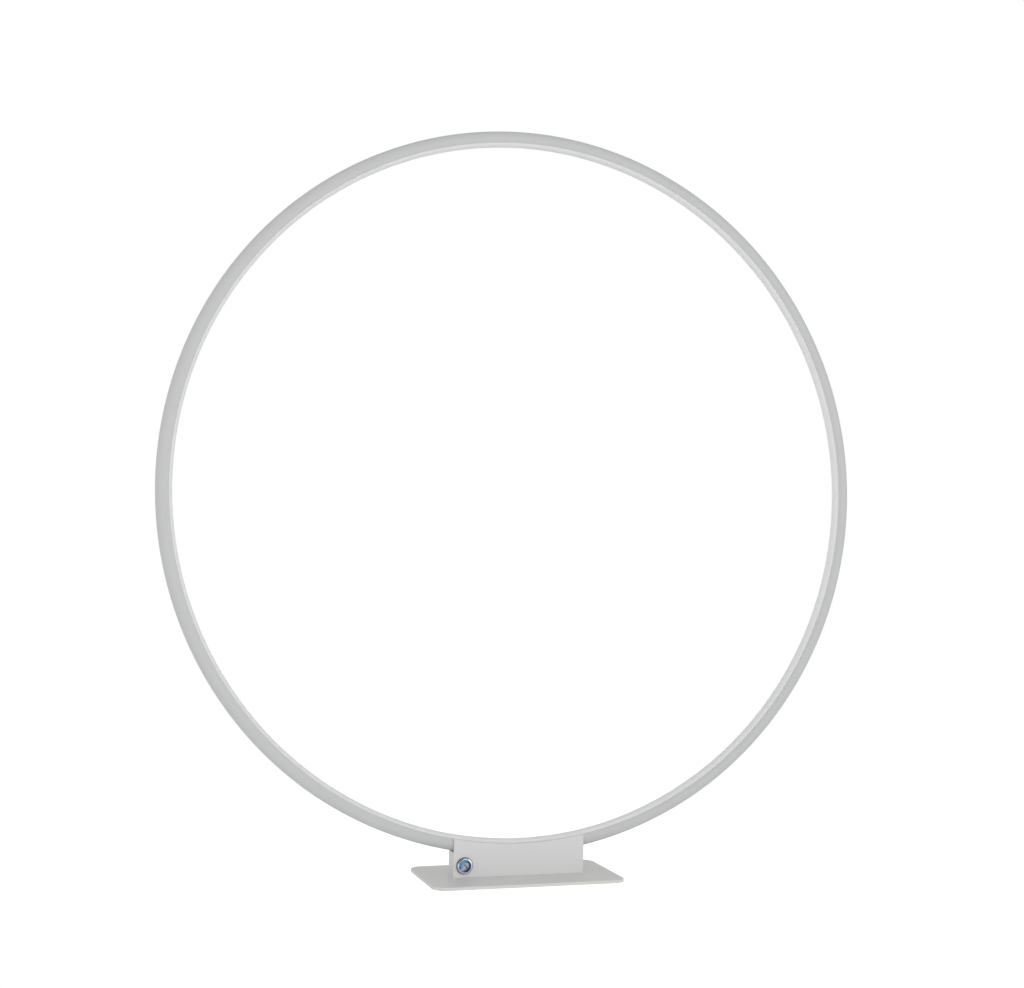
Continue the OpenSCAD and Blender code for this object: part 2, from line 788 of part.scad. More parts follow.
module alarm_buzzer() {
  color([0.1, 0.1, 0.1]) along_y(buzzer_place[0], buzzer_place[1]) translate([0, 0, board_y])
    difference() {
      cylinder(r = buzzer_r, h = buzzer_h);
      translate([0, 0, buzzer_h - 1.5]) cylinder(r = 1.2, h = 1.5 + past);
    }
}

module board_connectors() {
  size = connector_size;
  color([0.92, 0.9, 0.85]) for (x = [-main_connector_x, main_connector_x, tuning_connector_x])
    on_board(x, connector_z - size[2] / 2, size[0], size[2], size[1]);
}

module board_standoffs() {
  color([0.7, 0.68, 0.6]) for (at = concat(main_holes, tuning_holes)) along_y(at[0], at[1])
    sleeve(standoff_r, m3_r, -panel_in_y, board_y - board_t);
}

module board_screws() {
  color([0.6, 0.6, 0.62]) for (at = concat(main_holes, tuning_holes)) along_y(at[0], at[1])
    translate([0, 0, board_y]) rotate([180, 0, 0]) round_screw(m3_r, 2.7, 1.6, board_t + board_lift - 0.4);
}

module wiring_loom_left() {
  color([0.13, 0.13, 0.14]) wire(smooth_path(loom_left_points, 5), loom_r, [0.1, 0.25, 1]);
}

module wiring_loom_right() {
  color([0.13, 0.13, 0.14]) wire(smooth_path(loom_right_points, 5), loom_r, [0.1, 0.25, 1]);
}

// ---- Button ----

module button_bezel() {
  color([0.85, 0.86, 0.88]) along_y(button_x, button_z) rotate_extrude() {
    translate([bezel_bore_r, bezel_back]) square([barrel_d / 2 - bezel_bore_r, barrel_back - bezel_back]);
    difference() {
      union() {
        translate([bezel_bore_r, bezel_front + bezel_round])
          square([bezel_d / 2 - bezel_bore_r, bezel_t - bezel_round]);
        translate([bezel_bore_r, bezel_front])
          square([bezel_d / 2 - bezel_bore_r - bezel_round, bezel_t]);
        translate([bezel_d / 2 - bezel_round, bezel_front + bezel_round]) circle(bezel_round);
      }
      translate([bezel_bore_r, bezel_front]) circle(1, $fn = 4);
    }
  }
}

module button_gasket() {
  color([0.1, 0.1, 0.1]) along_y(button_x, button_z)
    sleeve(bezel_d / 2 - 0.4, barrel_d / 2 + fit, bezel_back, panel_y);
}

module button_nut() {
  color([0.7, 0.7, 0.72]) along_y(button_x, button_z)
    translate([0, 0, -panel_in_y]) difference() {
      hex_bar(button_nut_af, button_nut_t);
      translate([0, 0, -past]) cylinder(r = barrel_d / 2 + fit, h = button_nut_t + 2 * past);
    }
}

module button_light_ring() {
  color([0.15, 0.45, 0.95]) along_y(button_x, button_z)
    sleeve(light_ring_d / 2, cap_d / 2 + button_run, ring_front, ring_back);
}

module button_lamp_board() {
  lamp_w = 1.4;
  ring_mid_r = (light_ring_d / 2 + cap_flange_r + 0.4) / 2;
  color([0.9, 0.9, 0.85]) along_y(button_x, button_z) {
    sleeve(light_ring_d / 2, cap_flange_r + 0.4, lamp_board_front, lamp_board_front + lamp_board_t);
    for (i = [0 : 5]) rotate([0, 0, 60 * i])
      translate([ring_mid_r - lamp_w / 2, -lamp_w / 2, ring_back + 0.1])
        cube([lamp_w, lamp_w, lamp_board_front - ring_back - 0.1]);
  }
}

module button_cap() {
  color([0.93, 0.93, 0.9]) along_y(button_x, button_z) {
    intersection() {
      translate([0, 0, cap_front]) cylinder(d = cap_d, h = cap_back - cap_front);
      translate([0, 0, cap_front + cap_dome_r]) sphere(cap_dome_r);
    }
    translate([0, 0, ring_back + fit]) cylinder(r = cap_flange_r, h = cap_back - ring_back - fit);
  }
}

module button_plunger() {
  color([0.12, 0.12, 0.13]) along_y(button_x, button_z)
    translate([0, 0, cap_back]) cylinder(r = plunger_r, h = plunger_tip - cap_back);
}

module contact_bridge() {
  color([0.8, 0.6, 0.3]) along_y(button_x, button_z)
    translate([0, 0, plunger_tip]) cylinder(r = bridge_r, h = bridge_t);
}

module button_spring() {
  rings_per_turn = 14;
  start = cap_back + spring_wire_r + 0.02;
  length = housing_floor - start - spring_wire_r - 0.02;
  steps = spring_turns * rings_per_turn;
  coil = [
    for (i = [0 : steps])
      [
        spring_r * cos(360 * i / rings_per_turn),
        spring_r * sin(360 * i / rings_per_turn),
        start + length * i / steps
      ]
  ];
  color([0.75, 0.75, 0.77]) along_y(button_x, button_z) wire(coil, spring_wire_r, [0, 0, 1]);
}

module button_housing() {
  floor_end = housing_floor + housing_floor_t;
  color([0.1, 0.1, 0.11]) along_y(button_x, button_z) {
    sleeve(light_ring_d / 2, cap_flange_r + 0.4, housing_front, housing_floor);
    sleeve(light_ring_d / 2, plunger_r + button_run, housing_floor, floor_end);
    sleeve(light_ring_d / 2, light_ring_d / 2 - 2, floor_end, housing_back);
  }
}

module button_base() {
  color([0.85, 0.83, 0.76]) along_y(button_x, button_z) difference() {
    union() {
      translate([0, 0, base_front])
        cylinder(r = light_ring_d / 2 - 2 - fit, h = housing_back - base_front);
      translate([0, 0, housing_back]) cylinder(d = light_ring_d, h = base_back - housing_back);
    }
    for (i = [0 : 3]) rotate([0, 0, 90 * i]) translate([terminal_x, 0, 0])
      cylinder(r = 0.6 + thread_gap, h = box_d);
  }
}

module button_terminals() {
  color([0.85, 0.75, 0.4]) along_y(button_x, button_z) for (i = [0 : 3]) rotate([0, 0, 90 * i])
    translate([terminal_x, 0, 0]) {
      translate([0, 0, base_front]) cylinder(r = 0.6, h = terminal_end - base_front);
      if (i % 2 == 0) translate([0, 0, contact_y]) cylinder(r = 1.2, h = base_front - contact_y);
    }
}

base_plate();
ring_tube();
cover_strip();
antenna_winding();
winding_clips();
light_carrier();
light_tape();
tape_lamps();
joint_spigot();
spigot_screws();
saddle_left();
saddle_right();
ring_screws();
ring_nut_blocks();
housing_shell();
shell_screws();
shell_nuts();
rear_cover();
cover_posts();
cover_screws();
cable_grommet();
main_board();
shield_can();
board_chips();
terminal_blocks();
terminal_screws();
winding_leads();
tuning_board();
tuning_capacitors();
trimmer_body();
trimmer_rotor();
alarm_buzzer();
board_connectors();
board_standoffs();
board_screws();
wiring_loom_left();
wiring_loom_right();
button_bezel();
button_gasket();
button_nut();
button_light_ring();
button_lamp_board();
button_cap();
button_plunger();
contact_bridge();
button_spring();
button_housing();
button_base();
button_terminals();
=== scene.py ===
"""A hoop-shaped retail security gate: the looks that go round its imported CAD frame. Metres."""

import bmesh
import bpy
import numpy as np
from mathutils import Matrix, Vector


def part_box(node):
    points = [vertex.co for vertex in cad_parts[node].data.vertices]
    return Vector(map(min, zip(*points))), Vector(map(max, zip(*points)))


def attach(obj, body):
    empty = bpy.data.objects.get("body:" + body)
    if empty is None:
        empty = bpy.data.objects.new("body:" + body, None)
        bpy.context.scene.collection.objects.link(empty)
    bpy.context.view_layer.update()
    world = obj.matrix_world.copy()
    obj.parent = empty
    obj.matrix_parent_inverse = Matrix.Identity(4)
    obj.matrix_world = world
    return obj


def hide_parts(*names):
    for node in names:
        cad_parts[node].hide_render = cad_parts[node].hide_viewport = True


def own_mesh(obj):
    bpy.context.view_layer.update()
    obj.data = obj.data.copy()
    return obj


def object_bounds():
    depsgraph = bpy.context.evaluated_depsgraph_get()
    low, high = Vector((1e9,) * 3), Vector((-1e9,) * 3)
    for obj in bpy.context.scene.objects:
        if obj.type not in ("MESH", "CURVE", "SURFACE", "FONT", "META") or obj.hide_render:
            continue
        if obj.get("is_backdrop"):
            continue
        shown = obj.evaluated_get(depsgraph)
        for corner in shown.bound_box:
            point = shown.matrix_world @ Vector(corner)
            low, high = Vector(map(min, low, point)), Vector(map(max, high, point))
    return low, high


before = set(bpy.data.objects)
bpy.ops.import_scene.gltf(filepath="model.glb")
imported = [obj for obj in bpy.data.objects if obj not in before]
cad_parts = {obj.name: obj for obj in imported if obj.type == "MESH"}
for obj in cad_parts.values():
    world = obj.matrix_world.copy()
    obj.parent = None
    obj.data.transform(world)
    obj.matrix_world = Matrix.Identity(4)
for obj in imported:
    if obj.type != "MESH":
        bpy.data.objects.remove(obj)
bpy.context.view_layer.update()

# ---------------------------------------------------------------------------------------------
# The place it stands in: a plain pale studio floor under soft light. The floor is matt paint on
# a flat sheet that fades into the white of the room, so no horizon shows behind the hoop.
# ---------------------------------------------------------------------------------------------
low, high = (Vector(corner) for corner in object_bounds())
hoop_low, hoop_high = (Vector(corner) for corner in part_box("ring_tube"))
hoop_middle = Vector((0, 0, (hoop_low.z + hoop_high.z) / 2))


def aim(back, pan=0.0, tilt=0.0, roll=0.0):
    """Rotation whose +Z is back. It is then turned by pan to the right, tilt upwards and roll, in
    degrees, each about the camera's own axis as the turns before have left it."""
    ahead = -back.normalized()
    right = ahead.cross(Vector((0, 0, 1))).normalized()
    up = right.cross(ahead)
    c, s = np.cos(np.radians(pan)), np.sin(np.radians(pan))
    ahead, right = ahead * c + right * s, right * c - ahead * s
    c, s = np.cos(np.radians(tilt)), np.sin(np.radians(tilt))
    ahead, up = ahead * c + up * s, up * c - ahead * s
    c, s = np.cos(np.radians(roll)), np.sin(np.radians(roll))
    right, up = right * c + up * s, up * c - right * s
    return Matrix((right, up, -ahead)).transposed()


def direction(azimuth, elevation):
    """Unit vector towards a place seen at an azimuth (0 is the front, -Y) and an elevation."""
    a, e = np.radians(azimuth), np.radians(elevation)
    return Vector((np.sin(a) * np.cos(e), -np.cos(a) * np.cos(e), np.sin(e)))


view_back = direction(-17.369, -1.892)
view_distance = 3.34686
view_camera = bpy.data.cameras.new("view_camera")
view_camera.sensor_width = 36.0
view_camera.lens = 58.555
camera = bpy.data.objects.new("view_camera", view_camera)
turn = aim(view_back, pan=-0.359, tilt=-0.104, roll=0.933)
camera.matrix_world = Matrix.Translation(hoop_middle + view_back * view_distance) @ turn.to_4x4()
bpy.context.scene.collection.objects.link(camera)
bpy.context.scene.camera = camera
bpy.context.scene.view_settings.view_transform = "Standard"


def softbox(name, azimuth, elevation, distance, side, power, tint, mirrored):
    """A square lamp that looks at the middle of the hoop, and may be seen in polished metal."""
    lamp = bpy.data.lights.new(name, "AREA")
    lamp.size = side
    lamp.energy = power
    lamp.color = tint
    box = bpy.data.objects.new(name, lamp)
    box.visible_glossy = mirrored
    back = direction(azimuth, elevation)
    box.matrix_world = Matrix.Translation(hoop_middle + back * distance) @ aim(back).to_4x4()
    bpy.context.scene.collection.objects.link(box)


softbox("front_softbox", -24, 6, 4.2, 2.4, 40, (1.0, 0.995, 0.98), False)
softbox("right_softbox", 48, 8, 4.4, 2.0, 18, (0.98, 0.99, 1.0), True)


def feed(tree, socket, value):
    """Links a socket to another one, or gives it a value of its own."""
    if isinstance(value, bpy.types.NodeSocket):
        tree.links.new(value, socket)
    else:
        socket.default_value = value


def add_node(tree, kind, sockets=None, **settings):
    """A node of a kind such as "TexNoise", with its settings and what each of its sockets is fed."""
    made = tree.nodes.new("ShaderNode" + kind)
    for key, value in settings.items():
        setattr(made, key, value)
    for key, value in (sockets or {}).items():
        feed(tree, made.inputs[key], value)
    return made


def scaled(tree, value, given, wanted=(0.0, 1.0), smooth=False):
    """Carries a value from between the two numbers given to between the two wanted."""
    sockets = {"Value": value, "From Min": given[0], "From Max": given[1],
               "To Min": wanted[0], "To Max": wanted[1]}
    ease = "SMOOTHSTEP" if smooth else "LINEAR"
    return add_node(tree, "MapRange", sockets, interpolation_type=ease).outputs["Result"]


def place_of(tree):
    """The place in the piece's own frame, in metres."""
    return add_node(tree, "TexCoord").outputs["Object"]


def room_light():
    """The room: white to the eye, and a little brighter at the horizon than overhead for what it
    lights. Polished metal also finds a black flag, high in front, as a studio hangs one up."""
    world = bpy.data.worlds.new("studio_room")
    world.use_nodes = True
    tree = world.node_tree
    tree.nodes.clear()
    sky = add_node(tree, "TexCoord").outputs["Generated"]
    split = add_node(tree, "SeparateXYZ", {0: sky})
    ramp = add_node(tree, "ValToRGB")
    stops = ramp.color_ramp.elements
    stops[0].position, stops[0].color = 0.0, (0.60, 0.60, 0.60, 1)
    stops[1].position, stops[1].color = 1.0, (0.53, 0.53, 0.54, 1)
    for at, value in ((0.42, 0.80), (0.52, 0.85), (0.62, 0.77), (0.78, 0.62)):
        stop = stops.new(at)
        stop.color = (value, value, value, 1)
    remap = scaled(tree, split.outputs["Z"], (-1.0, 1.0))
    tree.links.new(remap, ramp.inputs["Fac"])
    lit = add_node(tree, "Background", {"Color": ramp.outputs["Color"], "Strength": 1.0})
    beside = add_node(tree, "VectorMath", {0: sky, 1: direction(-14, 21)}, operation="DOT_PRODUCT")
    flag = scaled(tree, beside.outputs["Value"], (0.90, 0.955), (1.0, 0.01), smooth=True)
    mirrored = add_node(tree, "Background", {"Color": ramp.outputs["Color"], "Strength": flag})
    seen = add_node(tree, "Background", {"Color": (1, 1, 1, 1), "Strength": 1.0})
    rays = add_node(tree, "LightPath")
    polished = add_node(
        tree, "MixShader", {"Fac": rays.outputs["Is Glossy Ray"], 1: lit.outputs[0], 2: mirrored.outputs[0]}
    )
    mix = add_node(
        tree, "MixShader", {"Fac": rays.outputs["Is Camera Ray"], 1: polished.outputs[0], 2: seen.outputs[0]}
    )
    add_node(tree, "OutputWorld", {"Surface": mix.outputs[0]})
    bpy.context.scene.world = world


def studio_floor(radius=2.6, rings=24, spokes=96, gap=0.0003):
    """A flat disc in polar steps: x = r cos a, y = r sin a, a hair under what the plate stands on,
    so that the two faces don't coincide."""
    level = low.z - gap
    r = radius * np.linspace(0, 1, rings + 1)[1:, None]
    a = np.linspace(0, 2 * np.pi, spokes, endpoint=False)[None, :]
    points = np.stack([r * np.cos(a), r * np.sin(a), np.zeros((rings, spokes)) + level], -1)
    verts = np.vstack([points.reshape(-1, 3), [[0, 0, level]]])
    i, j = np.meshgrid(np.arange(rings - 1), np.arange(spokes), indexing="ij")
    k = (j + 1) % spokes
    quads = np.stack([i * spokes + j, (i + 1) * spokes + j, (i + 1) * spokes + k, i * spokes + k], -1)
    hub = [(rings * spokes, n, (n + 1) % spokes) for n in range(spokes)]
    mesh = bpy.data.meshes.new("studio_floor")
    mesh.from_pydata(verts, [], quads.reshape(-1, 4).tolist() + hub)
    disc = bpy.data.objects.new("studio_floor", mesh)
    bpy.context.scene.collection.objects.link(disc)
    paint = bpy.data.materials.new("studio_floor_paint")
    paint.use_nodes = True
    tree = paint.node_tree
    tree.nodes.clear()
    place = place_of(tree)
    length = add_node(tree, "VectorMath", {0: place}, operation="LENGTH")
    fade = scaled(tree, length.outputs["Value"], (0.45, 1.5), smooth=True)
    cloud = add_node(tree, "TexNoise", {"Vector": place, "Scale": 5.0, "Detail": 3.0})
    tint = scaled(tree, cloud.outputs["Fac"], (0.0, 1.0), (0.90, 0.93))
    matt = add_node(tree, "BsdfDiffuse", {"Color": tint, "Roughness": 1.0})
    rays = add_node(tree, "LightPath")
    shown = scaled(tree, rays.outputs["Is Camera Ray"], (0.0, 1.0), (0.12, 0.50))
    glow = add_node(tree, "Emission", {"Strength": shown, "Color": (1, 1, 1, 1)})
    floor = add_node(tree, "AddShader", {0: matt.outputs[0], 1: glow.outputs[0]})
    clear = add_node(tree, "BsdfTransparent")
    mix = add_node(tree, "MixShader", {"Fac": fade, 1: floor.outputs[0], 2: clear.outputs[0]})
    add_node(tree, "OutputMaterial", {"Surface": mix.outputs[0]})
    mesh.materials.append(paint)
    disc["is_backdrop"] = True


room_light()
studio_floor()

# ---------------------------------------------------------------------------------------------
# Base plate: 6 mm steel plate, cut with round corners, its top edge broken, and powder coated a
# warm pale grey. It lies on the floor and takes the shoes and trolleys, so it carries scuffs.
# ---------------------------------------------------------------------------------------------


def start_group(name, ins, outs):
    """An empty shader group with its named sockets, and the two nodes at its ends."""
    tree = bpy.data.node_groups.new(name, "ShaderNodeTree")
    for label, kind, value in ins:
        tree.interface.new_socket(label, in_out="INPUT", socket_type=kind).default_value = value
    for label, kind in outs:
        tree.interface.new_socket(label, in_out="OUTPUT", socket_type=kind)
    return tree, tree.nodes.new("NodeGroupInput"), tree.nodes.new("NodeGroupOutput")


FLOAT, COLOUR = "NodeSocketFloat", "NodeSocketColor"


def reckon(tree, operation, first, second, clamp=False):
    """One sum on two values, each a socket or a plain number. Gives the socket of the result."""
    made = add_node(tree, "Math", operation=operation, use_clamp=clamp)
    feed(tree, made.inputs[0], first)
    feed(tree, made.inputs[1], second)
    return made.outputs[0]


def blend_colour(tree, share, first, second, mode="MIX"):
    """Mixes two colours, each a socket or a tuple, by a share that is a socket or a number."""
    made = add_node(tree, "Mix", data_type="RGBA", blend_type=mode)
    for key, value in ((0, share), (6, first), (7, second)):
        feed(tree, made.inputs[key], value)
    return made.outputs[2]


def about_zero(tree, noise, size):
    """A noise's value less a half, times size, which is a socket or a number."""
    return reckon(tree, "MULTIPLY", reckon(tree, "SUBTRACT", noise.outputs["Fac"], 0.5), size)


def shaded(tree, colour, drift):
    """A colour times one plus drift, the same in each channel."""
    gain = reckon(tree, "ADD", drift, 1.0)
    shade = add_node(tree, "CombineColor")
    for socket in ("Red", "Green", "Blue"):
        tree.links.new(gain, shade.inputs[socket])
    return blend_colour(tree, 1.0, colour, shade.outputs["Color"], "MULTIPLY")


def powder_coat_group():
    """Powder coat. Height is a noise of the orange peel's size; Colour drifts a little in broad
    clouds and has rare dark flecks; Roughness follows the clouds and the peel."""
    tree, ins, outs = start_group(
        "powder_coat",
        [("Colour", COLOUR, (0.6, 0.6, 0.6, 1)), ("Peel per metre", FLOAT, 700.0),
         ("Roughness", FLOAT, 0.4), ("Drift", FLOAT, 0.05), ("Flecks", FLOAT, 0.09)],
        [("Colour", COLOUR), ("Roughness", FLOAT), ("Height", FLOAT)],
    )
    place = place_of(tree)
    size = ins.outputs["Peel per metre"]
    finer = reckon(tree, "MULTIPLY", size, 1.7)
    peel = add_node(tree, "TexNoise", {"Vector": place, "Scale": size, "Detail": 2.0, "Roughness": 0.45})
    clouds = add_node(tree, "TexNoise", {"Vector": place, "Scale": 9.0, "Detail": 4.0, "Roughness": 0.6})
    fleck = add_node(tree, "TexNoise", {"Vector": place, "Scale": finer, "Detail": 0.0})
    drift = about_zero(tree, clouds, ins.outputs["Drift"])
    toned = shaded(tree, ins.outputs["Colour"], drift)
    rare = scaled(tree, fleck.outputs["Fac"], (0.76, 0.82))
    share = reckon(tree, "MULTIPLY", rare, ins.outputs["Flecks"])
    tree.links.new(blend_colour(tree, share, toned, (0.2, 0.2, 0.19, 1)), outs.inputs["Colour"])
    rough = reckon(tree, "ADD", ins.outputs["Roughness"], reckon(tree, "MULTIPLY", drift, 1.6))
    grain = about_zero(tree, peel, 0.12)
    tree.links.new(reckon(tree, "ADD", rough, grain, clamp=True), outs.inputs["Roughness"])
    tree.links.new(peel.outputs["Fac"], outs.inputs["Height"])
    return tree


def edge_rub_group():
    """Edge rub. The Bevel node's normal turns away from the true normal near an edge, and the mask
    is one minus their dot product, broken up by noise."""
    tree, ins, outs = start_group(
        "edge_rub", [("Reach", FLOAT, 0.0015), ("Patchiness", FLOAT, 0.6)], [("Mask", FLOAT)]
    )
    soft = add_node(tree, "Bevel", {"Radius": ins.outputs["Reach"]}, samples=4)
    true = add_node(tree, "NewGeometry")
    dot = add_node(
        tree, "VectorMath", {0: soft.outputs[0], 1: true.outputs["Normal"]}, operation="DOT_PRODUCT"
    )
    turned = scaled(tree, dot.outputs["Value"], (0.995, 0.8))
    place = place_of(tree)
    patches = add_node(tree, "TexNoise", {"Vector": place, "Scale": 60.0, "Detail": 5.0, "Roughness": 0.65})
    broken = scaled(tree, patches.outputs["Fac"], (0.35, 0.7))
    gone = reckon(tree, "SUBTRACT", 1.0, broken)
    left = reckon(tree, "SUBTRACT", 1.0, reckon(tree, "MULTIPLY", gone, ins.outputs["Patchiness"]))
    mask = reckon(tree, "MULTIPLY", turned, left, clamp=True)
    tree.links.new(mask, outs.inputs["Mask"])
    return tree


def scuff_group():
    """Scuffs. Long noise cells, stretched along X and turned a little, leave thin streaks; broad
    patches choose where there are any."""
    tree, ins, outs = start_group(
        "scuffs", [("Amount", FLOAT, 0.5), ("Size", FLOAT, 90.0)], [("Mask", FLOAT)]
    )
    place = place_of(tree)
    masks = []
    for turned, stretch in ((0.35, 0.06), (-1.1, 0.09)):
        lay = add_node(
            tree, "Mapping", {"Vector": place, "Rotation": (0, 0, turned), "Scale": (stretch, 1.0, 1.0)}
        )
        streak = add_node(
            tree, "TexNoise",
            {"Scale": ins.outputs["Size"], "Vector": lay.outputs[0], "Detail": 2.0, "Roughness": 0.5,
             "Distortion": 0.2},
        )
        masks.append(scaled(tree, streak.outputs["Fac"], (0.66, 0.74)))
    where = add_node(tree, "TexNoise", {"Vector": place, "Scale": 11.0, "Detail": 3.0})
    chosen = scaled(tree, where.outputs["Fac"], (0.48, 0.66))
    lines = reckon(tree, "MAXIMUM", masks[0], masks[1])
    kept = reckon(tree, "MULTIPLY", lines, chosen)
    tree.links.new(reckon(tree, "MULTIPLY", kept, ins.outputs["Amount"], clamp=True), outs.inputs["Mask"])
    return tree


POWDER_COAT, EDGE_RUB, SCUFFS = powder_coat_group(), edge_rub_group(), scuff_group()


def place_group(tree, group, sockets=None):
    """Puts a shader group into a material with its own values."""
    return add_node(tree, "Group", sockets, node_tree=group)


def start_material(name, shader_sockets=None):
    """A material with a Principled shader. Gives the material, its tree and the shader node."""
    made = bpy.data.materials.new(name)
    made.use_nodes = True
    tree = made.node_tree
    tree.nodes.clear()
    shader = add_node(tree, "BsdfPrincipled", shader_sockets)
    add_node(tree, "OutputMaterial", {"Surface": shader.outputs[0]})
    return made, tree, shader


def finish(tree, shader, colour, rough):
    """Feeds the shader its colour and its roughness."""
    tree.links.new(colour, shader.inputs["Base Color"])
    tree.links.new(rough, shader.inputs["Roughness"])


def bump(tree, shader, height, depth):
    """Feeds a height socket to the shader's normal, depth in metres."""
    made = add_node(tree, "Bump", {"Height": height, "Strength": 1.0, "Distance": depth})
    tree.links.new(made.outputs[0], shader.inputs["Normal"])


def powder_paint(name, colour, rubbed, peel=700.0, roughness=0.42, drift=0.05, scuffs=0.0, depth=4e-5):
    """Satin powder coat with rubbed edges and, where asked, scuffs."""
    made, tree, shader = start_material(
        name, {"Coat Weight": 0.12, "Coat Roughness": 0.28, "Specular IOR Level": 0.42}
    )
    coat = place_group(tree, POWDER_COAT, {"Colour": (*colour, 1), "Peel per metre": peel,
                                           "Roughness": roughness, "Drift": drift})
    rub = place_group(tree, EDGE_RUB)
    share = reckon(tree, "MULTIPLY", rub.outputs["Mask"], 0.55)
    worn = blend_colour(tree, share, coat.outputs["Colour"], (*rubbed, 1))
    rough = coat.outputs["Roughness"]
    if scuffs:
        marks = place_group(tree, SCUFFS, {"Amount": scuffs}).outputs["Mask"]
        worn = blend_colour(tree, marks, worn, (*[c * 0.72 for c in colour], 1))
        rough = reckon(tree, "ADD", rough, reckon(tree, "MULTIPLY", marks, 0.25), clamp=True)
    finish(tree, shader, worn, rough)
    bump(tree, shader, coat.outputs["Height"], depth)
    return made


def finish_nodes(material, *names):
    """Gives CAD nodes their material."""
    for name in names:
        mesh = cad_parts[name].data
        mesh.materials.clear()
        mesh.materials.append(material)


plate_paint = powder_paint("plate_paint", (0.69, 0.69, 0.67), (0.78, 0.78, 0.76), peel=520.0, roughness=0.46,
                           drift=0.09, scuffs=0.5)
finish_nodes(plate_paint, "base_plate")

# ---------------------------------------------------------------------------------------------
# Cable grommet: a black rubber ring pressed into the plate, where the mains lead would come up
# through the floor. It is moulded in one, with a flange on each side of the steel.
# ---------------------------------------------------------------------------------------------


def moulded_group():
    """Moulded skin. Height is a noise as fine as the mould's spark pattern; Colour drifts with a
    slow noise, and Roughness with both."""
    tree, ins, outs = start_group(
        "moulded_skin",
        [("Colour", COLOUR, (0.5, 0.5, 0.5, 1)), ("Grain per metre", FLOAT, 1800.0),
         ("Roughness", FLOAT, 0.5), ("Drift", FLOAT, 0.08)],
        [("Colour", COLOUR), ("Roughness", FLOAT), ("Height", FLOAT)],
    )
    place = place_of(tree)
    size = ins.outputs["Grain per metre"]
    fine = add_node(tree, "TexNoise", {"Vector": place, "Scale": size, "Detail": 3.0, "Roughness": 0.6})
    slow = add_node(tree, "TexNoise", {"Vector": place, "Scale": 40.0, "Detail": 3.0})
    drift = about_zero(tree, slow, ins.outputs["Drift"])
    tree.links.new(shaded(tree, ins.outputs["Colour"], drift), outs.inputs["Colour"])
    uneven = reckon(tree, "ADD", about_zero(tree, fine, 0.25), about_zero(tree, slow, 0.12))
    rough = reckon(tree, "ADD", ins.outputs["Roughness"], uneven)
    tree.links.new(reckon(tree, "MAXIMUM", rough, 0.05), outs.inputs["Roughness"])
    tree.links.new(fine.outputs["Fac"], outs.inputs["Height"])
    return tree


MOULDED = moulded_group()


def moulded(name, colour, roughness=0.5, grain=1800.0, depth=2e-5, drift=0.08, **sockets):
    """Moulded plastic or rubber. sockets are the shader's own, such as its subsurface weight."""
    own = {key.replace("_", " "): value for key, value in sockets.items()}
    made, tree, shader = start_material(name, own)
    skin_of_it = place_group(tree, MOULDED, {"Colour": (*colour, 1), "Grain per metre": grain,
                                             "Roughness": roughness, "Drift": drift})
    finish(tree, shader, skin_of_it.outputs["Colour"], skin_of_it.outputs["Roughness"])
    bump(tree, shader, skin_of_it.outputs["Height"], depth)
    return made


black_rubber = moulded("black_rubber", (0.018, 0.018, 0.018), 0.68, 2600.0, 3e-5)
finish_nodes(black_rubber, "cable_grommet")

# ---------------------------------------------------------------------------------------------
# Hoop: a 32 mm round tube, 2 mm thick, with a slot along its inside, rolled into a ring and coated
# pale grey. Its ends stop short of each other at the foot, so that the metal isn't a closed turn.
# ---------------------------------------------------------------------------------------------
tube_r = (hoop_high.y - hoop_low.y) / 2
tube_wall = 0.002
tube_in_r = tube_r - tube_wall
path_r = hoop_high.x - tube_r
slot_half = 0.0129
lip_r = 0.00035
end_gap_half = 0.006
break_angle = np.degrees(np.arcsin(end_gap_half / path_r))


def arc(radius, start, end, steps, middle=(0.0, 0.0)):
    """Points on a circle: middle + radius (cos t, sin t), with t from start to end in degrees."""
    t = np.radians(np.linspace(start, end, steps + 1))
    return np.stack([middle[0] + radius * np.cos(t), middle[1] + radius * np.sin(t)], -1)


def skin(name, verts, faces, crease=35.0):
    """A closed mesh, turned outwards by the sign of its volume, which is the sum over every face's
    fan of triangles of p0 . (p1 x p2) / 6. Edges sharper than crease degrees stay sharp. faces is a
    list of arrays, each of faces that have the same number of corners."""
    size = 0.0
    for corners in faces:
        p = verts[corners]
        size += np.einsum("fj,fkj->", p[:, 0], np.cross(p[:, 1:-1], p[:, 2:]))
    loops = [face for corners in faces for face in (corners if size > 0 else corners[:, ::-1]).tolist()]
    mesh = bpy.data.meshes.new(name)
    mesh.from_pydata(verts, [], loops)
    mesh.shade_smooth()
    mesh.set_sharp_from_angle(angle=np.radians(crease))
    piece = bpy.data.objects.new(name, mesh)
    bpy.context.scene.collection.objects.link(piece)
    return piece


def grid_faces(rows, columns, rows_close, columns_close):
    """Quads between neighbours on a grid of points numbered row by row."""
    steps = rows - (0 if rows_close else 1)
    across = columns - (0 if columns_close else 1)
    i, j = np.meshgrid(np.arange(steps), np.arange(across), indexing="ij")
    i2, j2 = (i + 1) % rows, (j + 1) % columns
    quads = np.stack([i * columns + j, i2 * columns + j, i2 * columns + j2, i * columns + j2], -1)
    return quads.reshape(-1, 4)


